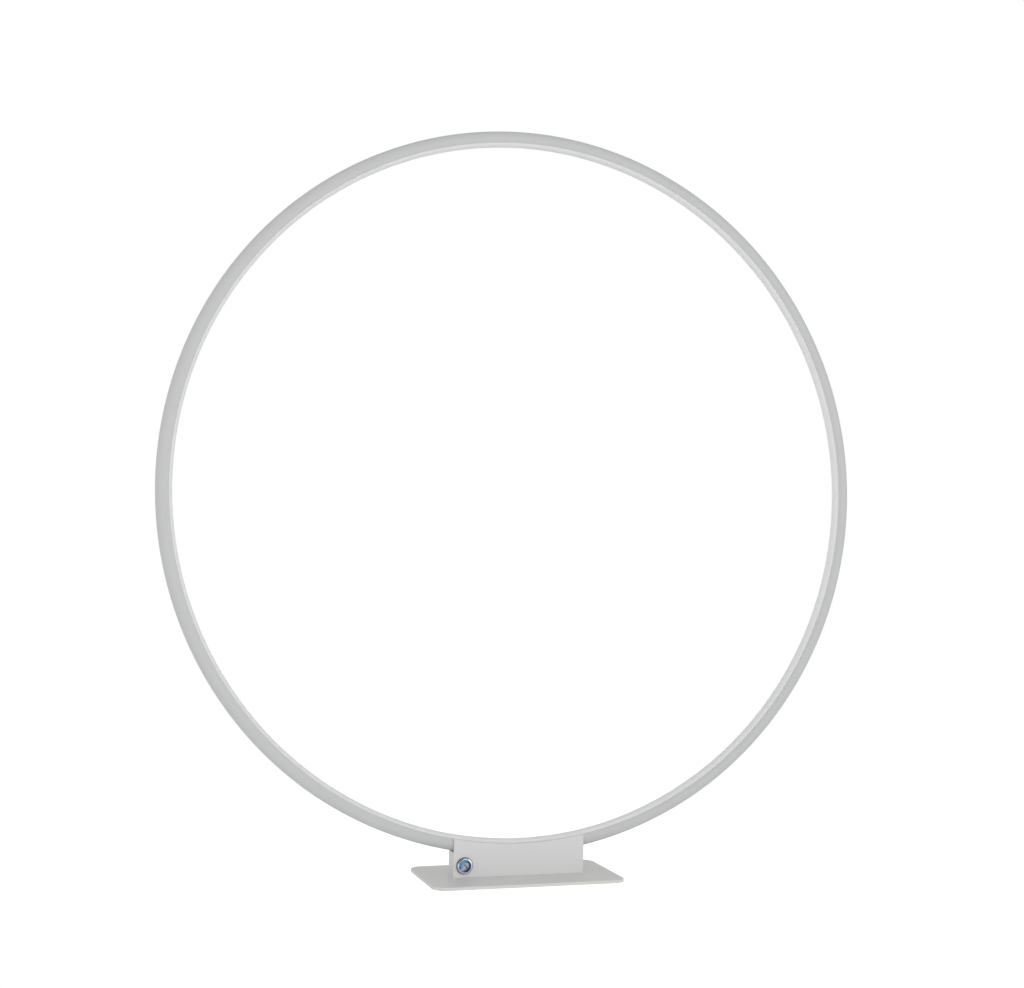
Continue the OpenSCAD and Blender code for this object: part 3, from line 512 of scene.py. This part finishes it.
def rolled(name, section, first, last, steps):
    """Carries a closed section round the hoop. Its points are (n, v): n is out from the tube's own
    middle and v along Y. At an angle a from the foot x = (R + n) sin a, y = v and
    z = centre - (R + n) cos a. A flat face closes each end."""
    a = np.radians(np.linspace(first, last, steps + 1))[:, None]
    r = path_r + section[None, :, 0]
    across = np.broadcast_to(section[None, :, 1], (steps + 1, len(section)))
    points = np.stack([r * np.sin(a), across, hoop_middle.z - r * np.cos(a)], -1)
    count = len(section)
    ends = np.stack([np.arange(count), steps * count + np.arange(count)[::-1]])
    return skin(name, points.reshape(-1, 3), [grid_faces(steps + 1, count, False, True), ends])


def tube_section():
    """The slotted tube: outer arc, a small round on the slot's lip, the lip, the inner arc, and back."""
    lip_n = -np.sqrt((tube_r - lip_r) ** 2 - (slot_half + lip_r) ** 2)
    lip_angle = np.degrees(np.arctan2(slot_half + lip_r, lip_n))
    inner_angle = 180.0 - np.degrees(np.arcsin(slot_half / tube_in_r))
    upper_lip = arc(lip_r, lip_angle, 270.0, 6, (lip_n, slot_half + lip_r))
    lower_lip = upper_lip[::-1] * (1, -1)
    outer = arc(tube_r, -lip_angle, lip_angle, 44)
    inner = arc(tube_in_r, inner_angle, -inner_angle, 20)
    return np.vstack([outer, upper_lip[1:], inner, lower_lip[:-1]])


hoop_paint = powder_paint("hoop_paint", (0.565, 0.57, 0.57), (0.68, 0.69, 0.68), peel=900.0, roughness=0.4,
                          drift=0.05, depth=1.6e-5)
hoop_tube = rolled("hoop_tube", tube_section(), break_angle, 360.0 - break_angle, 720)
hoop_tube.data.materials.append(hoop_paint)
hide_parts("ring_tube")
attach(hoop_tube, "gate_frame")

# ---------------------------------------------------------------------------------------------
# Hoop joint: a cream nylon spigot inside the tube's two ends, held by a plated screw in each. It
# keeps the ends in line without joining them electrically.
# ---------------------------------------------------------------------------------------------


def plated_group():
    """Plated metal. Colour clouds slowly, Roughness has fine streaks that run along X and broad
    smears, and Height is the streaks."""
    tree, ins, outs = start_group(
        "plated_metal",
        [("Colour", COLOUR, (0.6, 0.6, 0.6, 1)), ("Roughness", FLOAT, 0.3),
         ("Streaks per metre", FLOAT, 2500.0), ("Tarnish", FLOAT, 0.15)],
        [("Colour", COLOUR), ("Roughness", FLOAT), ("Height", FLOAT)],
    )
    place = place_of(tree)
    lay = add_node(tree, "Mapping", {"Vector": place, "Scale": (0.08, 1.0, 1.0)})
    streak = add_node(
        tree, "TexNoise", {"Vector": lay.outputs[0], "Scale": ins.outputs["Streaks per metre"], "Detail": 2.0}
    )
    smear = add_node(tree, "TexNoise", {"Vector": place, "Scale": 130.0, "Detail": 4.0, "Roughness": 0.6})
    dull = blend_colour(tree, 1.0, ins.outputs["Colour"], (0.62, 0.60, 0.56, 1), "MULTIPLY")
    share = reckon(tree, "MULTIPLY", smear.outputs["Fac"], ins.outputs["Tarnish"])
    tree.links.new(blend_colour(tree, share, ins.outputs["Colour"], dull), outs.inputs["Colour"])
    uneven = reckon(tree, "ADD", about_zero(tree, streak, 0.2), about_zero(tree, smear, 0.25))
    total = reckon(tree, "ADD", ins.outputs["Roughness"], uneven)
    tree.links.new(reckon(tree, "MAXIMUM", total, 0.04), outs.inputs["Roughness"])
    tree.links.new(streak.outputs["Fac"], outs.inputs["Height"])
    return tree


PLATED = plated_group()


def plated(name, colour, roughness=0.3, streaks=2500.0, tarnish=0.15, depth=4e-6):
    """Bare or plated metal."""
    made, tree, shader = start_material(name, {"Metallic": 1.0})
    metal = place_group(
        tree, PLATED,
        {"Colour": (*colour, 1), "Roughness": roughness, "Streaks per metre": streaks, "Tarnish": tarnish},
    )
    finish(tree, shader, metal.outputs["Colour"], metal.outputs["Roughness"])
    bump(tree, shader, metal.outputs["Height"], depth)
    return made


cream_nylon = moulded("cream_nylon", (0.74, 0.68, 0.55), 0.42, Subsurface_Weight=0.1)
zinc_steel = plated("zinc_steel", (0.60, 0.61, 0.63), 0.32)
finish_nodes(cream_nylon, "joint_spigot")
finish_nodes(zinc_steel, "spigot_screws", "ring_nut_blocks")

# ---------------------------------------------------------------------------------------------
# Saddles: two glass-filled black nylon blocks, milled to the tube's curve, that carry the hoop.
# A long countersunk screw goes up through the plate and each saddle into a threaded steel block.
# ---------------------------------------------------------------------------------------------
black_nylon = moulded("black_nylon", (0.035, 0.036, 0.038), 0.52, 1500.0, 4e-5)
finish_nodes(black_nylon, "saddle_left", "saddle_right")
finish_nodes(zinc_steel, "ring_screws")

# ---------------------------------------------------------------------------------------------
# Antenna winding: a bundle of enamelled copper wire laid all round the tube, held every 190 mm by
# a black plastic clip, with two insulated leads down to the main board.
# ---------------------------------------------------------------------------------------------


def laid_wire(name, colour, strand):
    """Enamelled wire. The strands are a Wave pattern across the bundle's depth, which repeats every
    2 pi strand metres and is bent a little by noise, and darkened between the strands as painted
    shade; the enamel is a clear coat over the metal."""
    wave_rate = 20
    made, tree, shader = start_material(name, {"Metallic": 1.0, "Coat Roughness": 0.12, "Coat Weight": 0.6})
    place = place_of(tree)
    lines = add_node(
        tree, "TexWave",
        {"Vector": place, "Scale": 1 / (strand * wave_rate), "Distortion": 0.6, "Detail": 1.0},
        bands_direction="Y",
    )
    # Painted shade: the colour falls to 0.45 of the copper's in the bands between strands.
    lit = blend_colour(tree, lines.outputs["Fac"], (*[c * 0.45 for c in colour], 1), (*colour, 1))
    rough = scaled(tree, lines.outputs["Fac"], (0.0, 1.0), (0.42, 0.24))
    finish(tree, shader, lit, rough)
    bump(tree, shader, lines.outputs["Fac"], 3e-4)
    return made


copper_wire = laid_wire("copper_wire", (0.78, 0.36, 0.17), 0.0009)
finish_nodes(copper_wire, "antenna_winding")
finish_nodes(moulded("black_plastic", (0.03, 0.03, 0.032), 0.45), "winding_clips")
finish_nodes(moulded("red_insulation", (0.45, 0.02, 0.015), 0.38, 900.0, 1e-5), "winding_leads")

# ---------------------------------------------------------------------------------------------
# Alarm light: a strip of lamps on flexible film, stuck to a thin aluminium carrier that lies
# behind the cover strip on the clips. It shows through the cover only when it is lit.
# ---------------------------------------------------------------------------------------------
finish_nodes(plated("carrier_aluminium", (0.80, 0.81, 0.82), 0.38, 3200.0, 0.1), "light_carrier")
finish_nodes(moulded("tape_film", (0.70, 0.69, 0.62), 0.3, 700.0, 1e-5), "light_tape")
lamp_phosphor = moulded("lamp_phosphor", (0.80, 0.66, 0.22), 0.45, 2200.0, 1e-5, Subsurface_Weight=0.2)
finish_nodes(lamp_phosphor, "tape_lamps")

# ---------------------------------------------------------------------------------------------
# Cover strip: extruded opal polycarbonate that closes the slot along the hoop's inside and
# completes the tube's round. Two legs with barbs snap it in, and its ends meet at the foot.
# ---------------------------------------------------------------------------------------------
strip_half = 0.0125
strip_t = 0.0022
strip_in_r = tube_r - strip_t
strip_round = 0.0003
leg_in = 0.0111
barb_at, barb_end = -0.00508, -0.00258
barb_r = 0.0137
joint_half = 0.00006
joint_angle = np.degrees(np.arcsin(joint_half / path_r))


def strip_section():
    """The strip's section: the cap's outer arc with small rounds, a flat side, the barb, the leg's
    tip and inner side, and the cap's inner arc; the other half is its mirror image."""
    edge_n = -np.sqrt((tube_r - strip_round) ** 2 - (strip_half - strip_round) ** 2)
    edge_angle = np.degrees(np.arctan2(strip_half - strip_round, edge_n))
    upper_edge = arc(strip_round, 90.0, edge_angle, 4, (edge_n, strip_half - strip_round))
    cap = arc(tube_r, edge_angle, 360.0 - edge_angle, 26)
    lower_edge = upper_edge[::-1] * (1, -1)
    barb_low = np.sqrt(barb_r**2 - barb_at**2)
    barb_tip = np.sqrt(barb_r**2 - barb_end**2)
    leg = np.array([[barb_at, strip_half], [barb_at, barb_low], [barb_end, barb_tip], [barb_end, leg_in]])
    inner_angle = 180.0 - np.degrees(np.arcsin(leg_in / strip_in_r))
    inner = arc(strip_in_r, 360.0 - inner_angle, inner_angle, 12)
    return np.vstack([upper_edge[:-1], cap, lower_edge[1:], leg * (1, -1), inner, leg[::-1]])


def opal(name, colour):
    """Opal plastic: light goes a little way in. Its matt skin has faint lines along the extrusion,
    a Wave pattern across Y."""
    made, tree, shader = start_material(name, {"Subsurface Weight": 0.35, "Subsurface Scale": 1.0,
                                               "Subsurface Radius": (0.004, 0.004, 0.0042), "IOR": 1.58})
    skin_of_it = place_group(tree, MOULDED, {"Colour": (*colour, 1), "Grain per metre": 1200.0,
                                             "Roughness": 0.36, "Drift": 0.03})
    finish(tree, shader, skin_of_it.outputs["Colour"], skin_of_it.outputs["Roughness"])
    place = place_of(tree)
    bands = {"Vector": place, "Scale": 45.0, "Distortion": 0.3}
    lines = add_node(tree, "TexWave", bands, bands_direction="Y")
    drawn = reckon(tree, "MULTIPLY", lines.outputs["Fac"], 0.4)
    bump(tree, shader, reckon(tree, "ADD", skin_of_it.outputs["Height"], drawn), 8e-6)
    return made


opal_strip = rolled("opal_strip", strip_section(), joint_angle, 360.0 - joint_angle, 720)
opal_strip.data.materials.append(opal("strip_opal", (0.80, 0.805, 0.805)))
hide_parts("cover_strip")
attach(opal_strip, "gate_frame")

# ---------------------------------------------------------------------------------------------
# Housing: 2 mm steel sheet, cut and folded, coated like the hoop. The front panel folds back into
# two end walls and its feet are screwed to the plate; the rear cover closes it with four screws.
# ---------------------------------------------------------------------------------------------


def eased_copy(node, name, ease):
    """A copy of a CAD node with its triangles merged into flat faces and its sharp edges rounded by
    a Bevel modifier, as the coating rounds them."""
    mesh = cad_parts[node].data.copy()
    mesh.name = name
    merge_within, flat = 2e-6, np.radians(0.4)
    work = bmesh.new()
    work.from_mesh(mesh)
    bmesh.ops.remove_doubles(work, verts=work.verts, dist=merge_within)
    bmesh.ops.dissolve_limit(work, angle_limit=flat, verts=work.verts, edges=work.edges, delimit={"NORMAL"})
    work.to_mesh(mesh)
    work.free()
    if "custom_normal" in mesh.attributes:
        mesh.attributes.remove(mesh.attributes["custom_normal"])
    mesh.shade_smooth()
    mesh.set_sharp_from_angle(angle=np.radians(30))
    piece = bpy.data.objects.new(name, mesh)
    bpy.context.scene.collection.objects.link(piece)
    rounding = piece.modifiers.new("coated_edges", "BEVEL")
    rounding.width = ease
    rounding.segments = 2
    rounding.limit_method = "ANGLE"
    rounding.angle_limit = np.radians(40)
    rounding.harden_normals = True
    return piece


housing_paint = powder_paint("housing_paint", (0.71, 0.705, 0.715), (0.79, 0.79, 0.795), peel=620.0,
                             roughness=0.42, drift=0.05)
for node, name in (("housing_shell", "front_housing"), ("rear_cover", "rear_panel")):
    sheet = eased_copy(node, name, 0.0004)
    sheet.data.materials.clear()
    sheet.data.materials.append(housing_paint)
    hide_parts(node)
    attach(sheet, "gate_frame")

brass_plated = plated("brass_plated", (0.72, 0.64, 0.42), 0.3)
finish_nodes(zinc_steel, "shell_screws", "shell_nuts", "cover_screws")
finish_nodes(brass_plated, "cover_posts")

# ---------------------------------------------------------------------------------------------
# Circuit boards: glass-fibre board with green lacquer, the main one in the middle and the tuning
# one at the right end. They stand on plated posts behind the front panel, parts to the rear.
# ---------------------------------------------------------------------------------------------


def lacquered_board(name):
    """Lacquered board. A Brick pattern in X and Z gives the tracks under the lacquer, and a Checker
    pattern of the weave's size a faint height."""
    made, tree, shader = start_material(name, {"Coat Weight": 0.4, "Coat Roughness": 0.15})
    place = place_of(tree)
    lay = add_node(tree, "Mapping", {"Vector": place, "Rotation": (np.pi / 2, 0, 0)})
    tracks = add_node(
        tree, "TexBrick",
        {"Vector": lay.outputs[0], "Scale": 260.0, "Mortar Size": 0.09, "Mortar Smooth": 0.1,
         "Brick Width": 1.7, "Row Height": 0.5, "Color1": (0.008, 0.10, 0.035, 1),
         "Color2": (0.010, 0.12, 0.042, 1), "Mortar": (0.02, 0.22, 0.09, 1)},
    )
    weave = add_node(tree, "TexChecker", {"Vector": place, "Scale": 1600.0})
    rough = scaled(tree, weave.outputs["Fac"], (0.0, 1.0), (0.32, 0.4))
    finish(tree, shader, tracks.outputs["Color"], rough)
    height = reckon(tree, "ADD", tracks.outputs["Fac"], reckon(tree, "MULTIPLY", weave.outputs["Fac"], 0.2))
    bump(tree, shader, height, 2e-5)
    return made


finish_nodes(lacquered_board("circuit_board"), "main_board", "tuning_board")
finish_nodes(brass_plated, "board_standoffs", "contact_bridge")
finish_nodes(zinc_steel, "board_screws", "shield_can", "terminal_screws")
finish_nodes(moulded("chip_black", (0.022, 0.022, 0.024), 0.42, 2400.0), "board_chips")
finish_nodes(moulded("green_plastic", (0.02, 0.19, 0.075), 0.4), "terminal_blocks")
finish_nodes(moulded("capacitor_yellow", (0.62, 0.36, 0.05), 0.42), "tuning_capacitors")
finish_nodes(moulded("blue_plastic", (0.03, 0.11, 0.36), 0.36), "trimmer_body")
finish_nodes(cream_nylon, "board_connectors")
finish_nodes(brass_plated, "trimmer_rotor")
finish_nodes(black_nylon, "alarm_buzzer")
black_insulation = moulded("black_insulation", (0.02, 0.02, 0.022), 0.4, 900.0, 1e-5)
finish_nodes(black_insulation, "wiring_loom_left", "wiring_loom_right")

# ---------------------------------------------------------------------------------------------
# Button bezel: brass turned in one with its threaded barrel and plated with chromium. It comes
# through the front panel from outside, on a rubber gasket, and a nut clamps it from behind.
# ---------------------------------------------------------------------------------------------
bezel_low, bezel_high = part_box("button_bezel")
button_x, button_z = (bezel_low.x + bezel_high.x) / 2, (bezel_low.z + bezel_high.z) / 2
bezel_r = (bezel_high.x - bezel_low.x) / 2
bezel_front = bezel_low.y
bezel_depth = 0.0036
bezel_back = bezel_front + bezel_depth
barrel_r, bore_r = 0.014, 0.01165


def turned(name, profile, closed=True, steps=128):
    """Turns a profile about the button's axis: its points are (r, y), and x = x0 + r sin t,
    z = z0 + r cos t. A closed profile makes a ring; an open one starts and ends on the axis, at a
    single point each."""
    profile = np.asarray(profile)
    rim = profile if closed else profile[1:-1]
    t = np.linspace(0, 2 * np.pi, steps, endpoint=False)[:, None]
    r, y = rim[None, :, 0], np.broadcast_to(rim[None, :, 1], (steps, len(rim)))
    verts = np.stack([button_x + r * np.sin(t), y, button_z + r * np.cos(t)], -1).reshape(-1, 3)
    faces = [grid_faces(steps, len(rim), True, closed)]
    if not closed:
        hubs = [[button_x, profile[k, 1], button_z] for k in (0, -1)]
        count, row = len(verts), np.arange(steps)
        after = (row + 1) % steps
        verts = np.vstack([verts, hubs])
        start = np.stack([np.full(steps, count), after * len(rim), row * len(rim)], -1)
        last = len(rim) - 1
        end = np.stack([np.full(steps, count + 1), row * len(rim) + last, after * len(rim) + last], -1)
        faces += [start, end]
    return skin(name, verts, faces, crease=30.0)


def bezel_profile():
    """The bezel: a domed rim, which is an outer and an inner quarter of two ellipses that share
    their crest, then the bore, and the barrel behind with its thread as a row of teeth."""
    crest_r, rim_in_r, rim_depth = 0.0124, 0.0118, 0.0016
    edge, straight, rim_chamfer = 0.0002, 0.0006, 0.0003
    quarter = np.radians(np.linspace(0, 90, 13))[:, None]
    outer = np.hstack([
        crest_r + (bezel_r - crest_r) * np.cos(quarter),
        bezel_front + (bezel_back - straight - bezel_front) * (1 - np.sin(quarter)),
    ])
    inner = np.hstack([
        crest_r - (crest_r - rim_in_r) * np.sin(quarter),
        bezel_front + rim_depth * (1 - np.cos(quarter)),
    ])
    thread_start, thread_depth, pitch, teeth = 0.004, 0.0005, 0.001, 9
    k = np.arange(teeth)[:, None]
    tooth = np.array([[barrel_r, 0.0], [barrel_r - thread_depth, pitch / 2]])
    thread = tooth[None] + np.stack([0 * k, bezel_back + thread_start + k * pitch], -1)
    return np.vstack([
        [[barrel_r, bezel_back], [bezel_r - edge, bezel_back], [bezel_r, bezel_back - edge]],
        outer, inner[1:],
        [[bore_r, bezel_front + rim_depth + rim_chamfer], [bore_r, bezel_high.y]],
        [[barrel_r - thread_depth, bezel_high.y]],
        thread.reshape(-1, 2)[::-1],
    ])


def from_axis(tree):
    """The place about the button's axis, flattened along Y: its vector, and its distance."""
    place = place_of(tree)
    centre = add_node(tree, "Mapping", {"Vector": place, "Location": (-button_x, 0, -button_z)})
    flat = add_node(tree, "Mapping", {"Vector": centre.outputs[0], "Scale": (1, 0, 1)})
    radius = add_node(tree, "VectorMath", {0: flat.outputs[0]}, operation="LENGTH")
    return flat.outputs[0], radius.outputs["Value"]


def chrome(name):
    """Chromium plate. Past the edge of the dome, by the distance from the axis, the flank is painted
    near black and made rougher: painted shade and painted reflection where the bezel meets the panel."""
    made, tree, shader = start_material(name, {"Metallic": 1.0})
    metal = place_group(
        tree, PLATED, {"Colour": (0.82, 0.83, 0.84, 1), "Roughness": 0.09, "Streaks per metre": 5000.0,
                       "Tarnish": 0.04}
    )
    # Painted shade: the flank past the dome's edge is painted near black.
    flank_shade_mask = scaled(tree, from_axis(tree)[1], (bezel_r - 0.0012, bezel_r - 0.0006))
    painted_dark_flank = blend_colour(tree, flank_shade_mask, metal.outputs["Colour"], (0.10, 0.105, 0.105, 1))
    dull = reckon(tree, "MULTIPLY", flank_shade_mask, 0.3)
    finish(tree, shader, painted_dark_flank, reckon(tree, "ADD", metal.outputs["Roughness"], dull))
    bump(tree, shader, metal.outputs["Height"], 1e-6)
    return made


button_bezel = turned("chrome_bezel", bezel_profile())
button_bezel.data.materials.append(chrome("bezel_chrome"))
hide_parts("button_bezel")
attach(button_bezel, "gate_frame")

gasket_low, gasket_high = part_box("button_gasket")
# The gasket stands gasket_proud beyond the bezel's edge all round, so that its black rim shows as a dark
# outline there: painted shade where the bezel meets the panel; behind the bezel it is the real gasket.
gasket_clear, gasket_proud = 0.00005, 0.0005
gasket_bulge = (gasket_high.y - gasket_low.y) / 2 - gasket_clear
bulge_at = (bezel_r + gasket_proud - gasket_bulge, (gasket_low.y + gasket_high.y) / 2)
gasket_profile = np.vstack([
    [[barrel_r, bulge_at[1] + gasket_bulge]],
    [[barrel_r, bulge_at[1] - gasket_bulge]],
    arc(gasket_bulge, -90.0, 90.0, 12, bulge_at),
])
rubber_gasket = turned("rubber_gasket", gasket_profile)
rubber_gasket.data.materials.append(black_rubber)
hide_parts("button_gasket")
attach(rubber_gasket, "gate_frame")
finish_nodes(zinc_steel, "button_nut")

# ---------------------------------------------------------------------------------------------
# Light ring: clear polycarbonate tinted blue, lit from behind by six small lamps. Its front slopes
# down to the bezel, and its colour runs from pale blue at the upper left to violet at the bottom,
# with a painted highlight and painted shade in it by the angle round the ring.
# ---------------------------------------------------------------------------------------------
ring_low, ring_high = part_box("button_light_ring")
light_out_r = (ring_high.x - ring_low.x) / 2
light_in_r = 0.00806


def ring_glow(name):
    """Lit plastic. The Radial gradient of the place about the button's axis picks the colour, which
    holds a painted highlight and painted shade, and noise varies it."""
    made, tree, shader = start_material(name, {"Coat Weight": 0.5, "Coat Roughness": 0.08,
                                               "Emission Strength": 0.4, "Subsurface Weight": 0.15})
    place = place_of(tree)
    centre = add_node(tree, "Mapping", {"Vector": place, "Location": (-button_x, 0, -button_z)})
    flat = add_node(tree, "Mapping", {"Vector": centre.outputs[0], "Rotation": (np.pi / 2, 0, 0)})
    around = add_node(tree, "TexGradient", {"Vector": flat.outputs[0]}, gradient_type="RADIAL")
    ramp = add_node(tree, "ValToRGB")
    stops = ramp.color_ramp.elements
    # Painted light: the pale lavender stops are a painted highlight and the near-black stops painted shade.
    tones_with_painted_light = (
        (0.00, (0.045, 0.16, 0.40)), (0.08, (0.05, 0.17, 0.41)), (0.19, (0.085, 0.28, 0.50)),
        (0.28, (0.03, 0.15, 0.36)), (0.37, (0.012, 0.045, 0.12)), (0.49, (0.004, 0.025, 0.10)),
        (0.62, (0.006, 0.004, 0.07)), (0.69, (0.006, 0.003, 0.09)), (0.76, (0.045, 0.035, 0.23)),
        (0.83, (0.31, 0.29, 0.55)), (0.88, (0.32, 0.30, 0.52)), (0.94, (0.03, 0.07, 0.23)),
        (1.00, (0.045, 0.16, 0.40)),
    )
    while len(stops) < len(tones_with_painted_light):
        stops.new(0.5)
    for stop, (at, tone) in zip(stops, tones_with_painted_light):
        stop.position, stop.color = at, (*tone, 1)
    tree.links.new(around.outputs["Fac"], ramp.inputs["Fac"])
    cloudy = add_node(tree, "TexNoise", {"Vector": place, "Scale": 420.0, "Detail": 2.0})
    shade = scaled(tree, cloudy.outputs["Fac"], (0.3, 0.7), (0.0, 0.2))
    toned = blend_colour(tree, shade, ramp.outputs["Color"], (0.10, 0.19, 0.42, 1))
    tree.links.new(toned, shader.inputs["Emission Color"])
    rough = scaled(tree, cloudy.outputs["Fac"], (0.0, 1.0), (0.12, 0.3))
    finish(tree, shader, toned, rough)
    return made


def ring_profile():
    """The ring: its front face slopes from a rounded inner rim down to the outer edge."""
    rim, drop, groove, groove_end = 0.0005, 0.0012, 0.0006, 0.004
    slope_in, slope_drop, edge = 0.0022, 0.0002, 0.0003
    front, back = ring_low.y, ring_high.y
    inner = arc(rim, 180.0, 270.0, 5, (light_in_r + rim, front + rim))
    groove_r = light_out_r - groove
    return np.vstack([
        inner, [[light_in_r + slope_in, front + slope_drop], [groove_r - edge, front + drop]],
        [[groove_r, front + drop + edge], [groove_r, front + groove_end]],
        [[light_out_r, front + groove_end], [light_out_r, back], [light_in_r, back]],
    ])


light_ring = turned("light_ring", ring_profile())
light_ring.data.materials.append(ring_glow("blue_light_ring"))
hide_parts("button_light_ring")
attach(light_ring, "gate_frame")
finish_nodes(moulded("lamp_board_white", (0.78, 0.78, 0.74), 0.4, 900.0), "button_lamp_board")

# ---------------------------------------------------------------------------------------------
# Cap: pearl polycarbonate with a shallow dome, that the finger pushes. A three-colour lamp stands
# close behind it, and its dice show as small soft spots; two broad pale spots are painted highlights
# and a broad dark one painted shade. The black plunger goes on behind.
# ---------------------------------------------------------------------------------------------
cap_low, cap_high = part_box("button_cap")
flange_r = (cap_high.x - cap_low.x) / 2
cap_r = 0.008
dome_r = 0.040


def cap_profile():
    """The cap: the dome y = front + dome_r - sqrt(dome_r^2 - r^2), a small round, the wall, and the
    flange behind the light ring."""
    rim, flange_t = 0.0004, 0.0015
    front, back, flange_front = cap_low.y, cap_high.y, cap_high.y - flange_t
    r = np.linspace(0, cap_r - rim, 12)
    dome = np.stack([r, front + dome_r - np.sqrt(dome_r**2 - r**2)], -1)
    corner = arc(rim, -90.0, 0.0, 5, (cap_r - rim, dome[-1, 1] + rim))
    back_face = [[cap_r, flange_front], [flange_r, flange_front], [flange_r, back], [0, back]]
    return np.vstack([dome[:-1], corner, back_face])


def pearl(name):
    """Pearl plastic. Spots are one minus the distance from each spot's place over its radius: small ones
    for the lamp's dice, broad ones painted highlights and painted shade. The rest is lavender grey,
    bluer towards the rim."""
    made, tree, shader = start_material(
        name, {"Coat Weight": 0.6, "Coat Roughness": 0.1, "Emission Strength": 0.12, "Subsurface Weight": 0.2}
    )
    place = place_of(tree)
    flat, radius = from_axis(tree)
    outward = scaled(tree, radius, (0.003, cap_r), smooth=True)
    tone = blend_colour(tree, outward, (0.30, 0.335, 0.40, 1), (0.17, 0.22, 0.40, 1))
    lamp_dice_and_painted_light = (
        # Painted light: the broad pale spots at the upper right and lower left are painted highlights, the
        # broad dark one at the lower right painted shade; the three small ones are the lamp's dice.
        ((0.0052, 0.0036), 0.0050, (0.36, 0.42, 0.46)), ((-0.0041, -0.0050), 0.0040, (0.42, 0.42, 0.62)),
        ((0.0050, -0.0050), 0.0045, (0.10, 0.11, 0.18)), ((-0.0004, 0.0020), 0.0032, (0.20, 0.06, 0.09)),
        ((-0.0008, -0.0031), 0.0034, (0.50, 0.50, 0.30)), ((0.0029, -0.0023), 0.0034, (0.06, 0.07, 0.035)),
    )
    for (dx, dz), size, colour in lamp_dice_and_painted_light:
        away = add_node(tree, "VectorMath", {0: flat, 1: (dx, 0, dz)}, operation="DISTANCE")
        near = scaled(tree, away.outputs["Value"], (size, 0.0002), smooth=True)
        tone = blend_colour(tree, near, tone, (*colour, 1))
    tree.links.new(tone, shader.inputs["Emission Color"])
    cloudy = add_node(tree, "TexNoise", {"Vector": place, "Scale": 600.0, "Detail": 2.0})
    rough = scaled(tree, cloudy.outputs["Fac"], (0.0, 1.0), (0.14, 0.32))
    finish(tree, shader, tone, rough)
    return made


pearl_cap = turned("pearl_cap", cap_profile(), closed=False)
pearl_cap.data.materials.append(pearl("cap_pearl"))
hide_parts("button_cap")
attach(pearl_cap, "push_button")
finish_nodes(black_nylon, "button_plunger")

# ---------------------------------------------------------------------------------------------
# Contact block: a black nylon cup on a cream base, with a plated return spring that the pressed cap
# shortens, a brass contact bridge that the plunger carries, and four brass terminals that the left
# loom is soldered to.
# ---------------------------------------------------------------------------------------------
spring_low, spring_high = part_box("button_spring")
spring_turns = 4
spring_wire_r = 0.0004
finish_nodes(black_nylon, "button_housing")
finish_nodes(cream_nylon, "button_base")


def coiled_wire(name, steps=288, around=12):
    """A round wire along a coil. At a share t of it x = x0 + R sin(2 pi n t), z = z0 + R cos(2 pi n t),
    and y goes as t - c sin(2 pi t) / (2 pi), which sets the end turns closer. The wire's circle
    lies on the coil's radius and on what is square to both the radius and the path."""
    t = np.linspace(0, 1, steps + 1)
    closing = 0.6
    turn = 2 * np.pi * spring_turns * t
    coil_r = (spring_high.x - spring_low.x) / 2 - spring_wire_r
    height = spring_high.y - spring_low.y - 2 * spring_wire_r
    y = spring_low.y + spring_wire_r + height * (t - closing * np.sin(2 * np.pi * t) / (2 * np.pi))
    radial = np.stack([np.sin(turn), 0 * t, np.cos(turn)], -1)
    path = np.stack([button_x + coil_r * radial[:, 0], y, button_z + coil_r * radial[:, 2]], -1)
    square = np.cross(np.gradient(path, axis=0), radial)
    square /= np.linalg.norm(square, axis=1, keepdims=True)
    a = np.linspace(0, 2 * np.pi, around, endpoint=False)[None, :, None]
    verts = path[:, None] + spring_wire_r * (np.cos(a) * radial[:, None] + np.sin(a) * square[:, None])
    ends = np.stack([np.arange(around)[::-1], steps * around + np.arange(around)])
    return skin(name, verts.reshape(-1, 3), [grid_faces(steps + 1, around, False, True)[:, ::-1], ends])


return_spring = coiled_wire("return_spring")
return_spring.data.materials.append(zinc_steel)
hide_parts("button_spring")
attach(return_spring, "gate_frame")
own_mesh(return_spring)
finish_nodes(brass_plated, "button_terminals")
